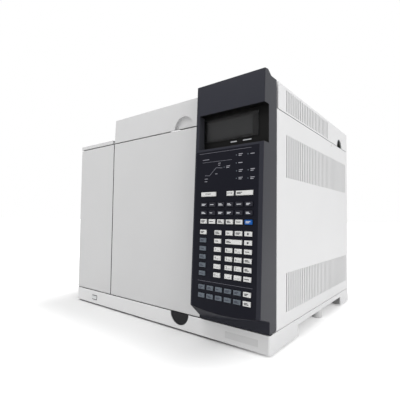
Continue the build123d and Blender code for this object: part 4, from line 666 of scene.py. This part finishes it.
# lines beside the temperature trace: X, height and length
TRACE_NAMES = [(169, 302, 7), (169, 297, 6), (193, 310, 4.5), (199, 329, 5), (199, 325.5, 4)]
TRACE_NAME_HALF = 0.5 * MM
names = bmesh.new()
lamps = bmesh.new()
for place, lines in LAMPS:
    spot = face_point(*place)
    lamp = FACE_MATRIX @ Matrix.Translation((spot[0], spot[1], PRINT_RISE))
    bmesh.ops.create_circle(lamps, cap_ends=True, segments=20, radius=LAMP_RADIUS, matrix=lamp)
    for line in range(lines):
        x = spot[0] + NAME_SHIFT
        y = spot[1] + (lines - 1) * NAME_STEP / 2 - line * NAME_STEP
        add_tile(names, (x, y - NAME_HALF), (x + NAME_LENGTHS[line], y + NAME_HALF), PRINT_RISE)
for x, z, length in TRACE_NAMES:
    spot = face_point(x, z)
    low = (spot[0], spot[1] - TRACE_NAME_HALF)
    high = (spot[0] + length * MM, spot[1] + TRACE_NAME_HALF)
    add_tile(names, low, high, PRINT_RISE)
finish_piece("lamp_names", names, print_mid, "casing_and_oven")
finish_piece("lamps", lamps, key_grey, "casing_and_oven")

# two short labels on the notch's back wall, under the display
DISPLAY_LABELS = [(213 * MM, 13 * MM), (239 * MM, 17 * MM)]  # left end and length
DISPLAY_LABEL_DROPS = (5.6 * MM, 3.8 * MM)  # lower and upper edge, below the lens
WALL_MATRIX = Matrix.Translation((0, LENS_HIGH[1], 0)) @ Matrix.Rotation(math.pi / 2, 4, "X")
marks = bmesh.new()
for left, length in DISPLAY_LABELS:
    low = (left, LENS_LOW[2] - DISPLAY_LABEL_DROPS[0])
    high = (left + length, LENS_LOW[2] - DISPLAY_LABEL_DROPS[1])
    add_tile(marks, low, high, PRINT_RISE, place=WALL_MATRIX)
finish_piece("display_labels", marks, print_white, "casing_and_oven")

# blank plate on the base's front
PLATE_LOW = (201 * MM, 13 * MM)
PLATE_HIGH = (268 * MM, 25 * MM)
PLATE_RISE = 0.02 * MM
PLATE_THICKNESS = 0.15 * MM
BASE_MATRIX = Matrix.Translation((0, BASE_FRONT, 0)) @ Matrix.Rotation(math.pi / 2, 4, "X")
marks = bmesh.new()
add_tile(marks, PLATE_LOW, PLATE_HIGH, PLATE_RISE, place=BASE_MATRIX, thickness=PLATE_THICKNESS)
finish_piece("base_plate", marks, plate_grey, "casing_and_oven")


# ------------------------------------------------------------------ studio
def add_plane(name, size, place, material):
    """A square stage plane."""
    mesh = bpy.data.meshes.new(name)
    target = bmesh.new()
    bmesh.ops.create_grid(target, x_segments=1, y_segments=1, size=size / 2)
    target.to_mesh(mesh)
    target.free()
    mesh.materials.append(material)
    plane = bpy.data.objects.new(name, mesh)
    plane.location = place
    bpy.context.scene.collection.objects.link(plane)
    return plane


def add_light(name, place, target, size, power):
    """A square soft light aimed at a point."""
    data = bpy.data.lights.new(name, "AREA")
    data.size = size
    data.energy = power
    lamp = bpy.data.objects.new(name, data)
    lamp.location = place
    lamp.rotation_euler = (Vector(target) - Vector(place)).to_track_quat("-Z", "Y").to_euler()
    bpy.context.scene.collection.objects.link(lamp)
    return lamp


# Inside this rectangle the floor keeps its shadow. It ends short of the object at the right, so
# the plain white floor hides the shadow there.
SHADOW_RIGHT_INSET = 0.13
SHADOW_FRONT_SPREAD = 0.01
SHADOW_LOW = (cad_box[0][0], cad_box[0][1] - SHADOW_FRONT_SPREAD)
SHADOW_HIGH = (cad_box[1][0] - SHADOW_RIGHT_INSET, cad_box[1][1])
FLOOR_GLOW_NEAR = 0.0
FLOOR_GLOW_FAR = 1.0
GLOW_REACH = 0.30  # how far outside the shadow's rectangle the floor is plain white
FLOOR_SIZE = 60.0


def backdrop_light(tree):
    """1 for rays that come from the camera, a mirror or glass, 0 for the rest."""
    rays = tree.nodes.new("ShaderNodeLightPath").outputs
    seen = compute(tree, "MAXIMUM", rays["Is Camera Ray"], rays["Is Glossy Ray"])
    return compute(tree, "MAXIMUM", seen, rays["Is Transmission Ray"])


def outside_shadow(tree, coordinates):
    """Distance on the floor from the shadow's rectangle, 0 inside it."""
    place = axes(tree, coordinates)
    beyond = tree.nodes.new("ShaderNodeCombineXYZ")
    for axis, name in enumerate("XY"):
        middle = (SHADOW_LOW[axis] + SHADOW_HIGH[axis]) / 2
        reach = (SHADOW_HIGH[axis] - SHADOW_LOW[axis]) / 2
        span = compute(tree, "ABSOLUTE", compute(tree, "SUBTRACT", place[name], middle))
        past = compute(tree, "MAXIMUM", compute(tree, "SUBTRACT", span, reach), 0.0)
        tree.links.new(past, beyond.inputs[name])
    length = tree.nodes.new("ShaderNodeVectorMath")
    length.operation = "LENGTH"
    tree.links.new(beyond.outputs["Vector"], length.inputs[0])
    return length.outputs["Value"]


def floor_paint():
    """Matt pale floor that turns plain white away from the object, where no shadow falls."""
    material, tree, shader, coordinates = new_material("floor_paint")
    grain = noise(tree, coordinates, 3.0)
    tint = two_tone(tree, grain, (0.80, 0.80, 0.80), (0.81, 0.81, 0.81))
    tree.links.new(tint, shader.inputs["Base Color"])
    shader.inputs["Roughness"].default_value = 0.8
    shader.inputs["Specular IOR Level"].default_value = 0.1
    away = tree.nodes.new("ShaderNodeMapRange")
    away.interpolation_type = "SMOOTHSTEP"
    away.inputs["From Min"].default_value = 0.0
    away.inputs["From Max"].default_value = GLOW_REACH
    away.inputs["To Min"].default_value = FLOOR_GLOW_NEAR
    away.inputs["To Max"].default_value = FLOOR_GLOW_FAR
    tree.links.new(outside_shadow(tree, coordinates), away.inputs["Value"])
    glow = compute(tree, "MULTIPLY", away.outputs["Result"], backdrop_light(tree))
    shader.inputs["Emission Color"].default_value = (1, 1, 1, 1)
    tree.links.new(glow, shader.inputs["Emission Strength"])
    return material


add_plane("floor", FLOOR_SIZE, (0, 0, 0), floor_paint())
OBJECT_MIDDLE = (0, 0, 0.24)
add_light("right_light", (2.6, -0.6, 1.4), OBJECT_MIDDLE, 1.6, 33)
add_light("front_light", (-0.4, -1.2, 1.8), OBJECT_MIDDLE, 1.0, 18)
add_light("top_light", (0.0, 0.5, 2.8), OBJECT_MIDDLE, 2.4, 26)

SEEN_STRENGTH = 1.0  # the backdrop, as the camera, metal and glass see it
FILL_STRENGTH = 0.42  # the soft light that it gives


def background(tree, strength):
    """A white background of a strength."""
    node = tree.nodes.new("ShaderNodeBackground")
    node.inputs["Color"].default_value = (1, 1, 1, 1)
    node.inputs["Strength"].default_value = strength
    return node.outputs["Background"]


def add_world():
    """White backdrop and even fill light."""
    world = bpy.data.worlds.new("studio")
    world.use_nodes = True
    bpy.context.scene.world = world
    tree = world.node_tree
    tree.nodes.clear()
    output = tree.nodes.new("ShaderNodeOutputWorld")
    chooser = tree.nodes.new("ShaderNodeMixShader")
    tree.links.new(backdrop_light(tree), chooser.inputs["Fac"])
    tree.links.new(background(tree, FILL_STRENGTH), chooser.inputs[1])
    tree.links.new(background(tree, SEEN_STRENGTH), chooser.inputs[2])
    tree.links.new(chooser.outputs["Shader"], output.inputs["Surface"])


add_world()
bpy.context.scene.view_settings.view_transform = "Standard"

# ------------------------------------------------------------------ camera
# Place, turn and roll are solved from the object's corners; tilt, shift and focal length are then
# trimmed until the outline fits the photograph's.
CAMERA_PLACE = Vector((0.531586, DOOR_Y - 0.493217, 0.229206))
CAMERA_YAW = math.radians(38.51957)
CAMERA_PITCH = math.radians(2.6)
CAMERA_SHIFT = 0.0095
CAMERA_ROLL = math.radians(0.75788)
CAMERA_LENS = 28.78

forward = Vector(
    (
        -math.sin(CAMERA_YAW) * math.cos(CAMERA_PITCH),
        math.cos(CAMERA_YAW) * math.cos(CAMERA_PITCH),
        math.sin(CAMERA_PITCH),
    )
)
level_right = Vector((math.cos(CAMERA_YAW), math.sin(CAMERA_YAW), 0))
level_up = level_right.cross(forward)
camera_right = math.cos(CAMERA_ROLL) * level_right + math.sin(CAMERA_ROLL) * level_up
camera_up = math.cos(CAMERA_ROLL) * level_up - math.sin(CAMERA_ROLL) * level_right
camera_data = bpy.data.cameras.new("camera")
camera_data.sensor_width = 36.0
camera_data.lens = CAMERA_LENS
camera_data.shift_y = CAMERA_SHIFT
camera_data.clip_start = 0.02
camera = bpy.data.objects.new("camera", camera_data)
camera_matrix = Matrix((camera_right, camera_up, -forward)).transposed().to_4x4()
camera_matrix.translation = CAMERA_PLACE
camera.matrix_world = camera_matrix
bpy.context.scene.collection.objects.link(camera)
bpy.context.scene.camera = camera
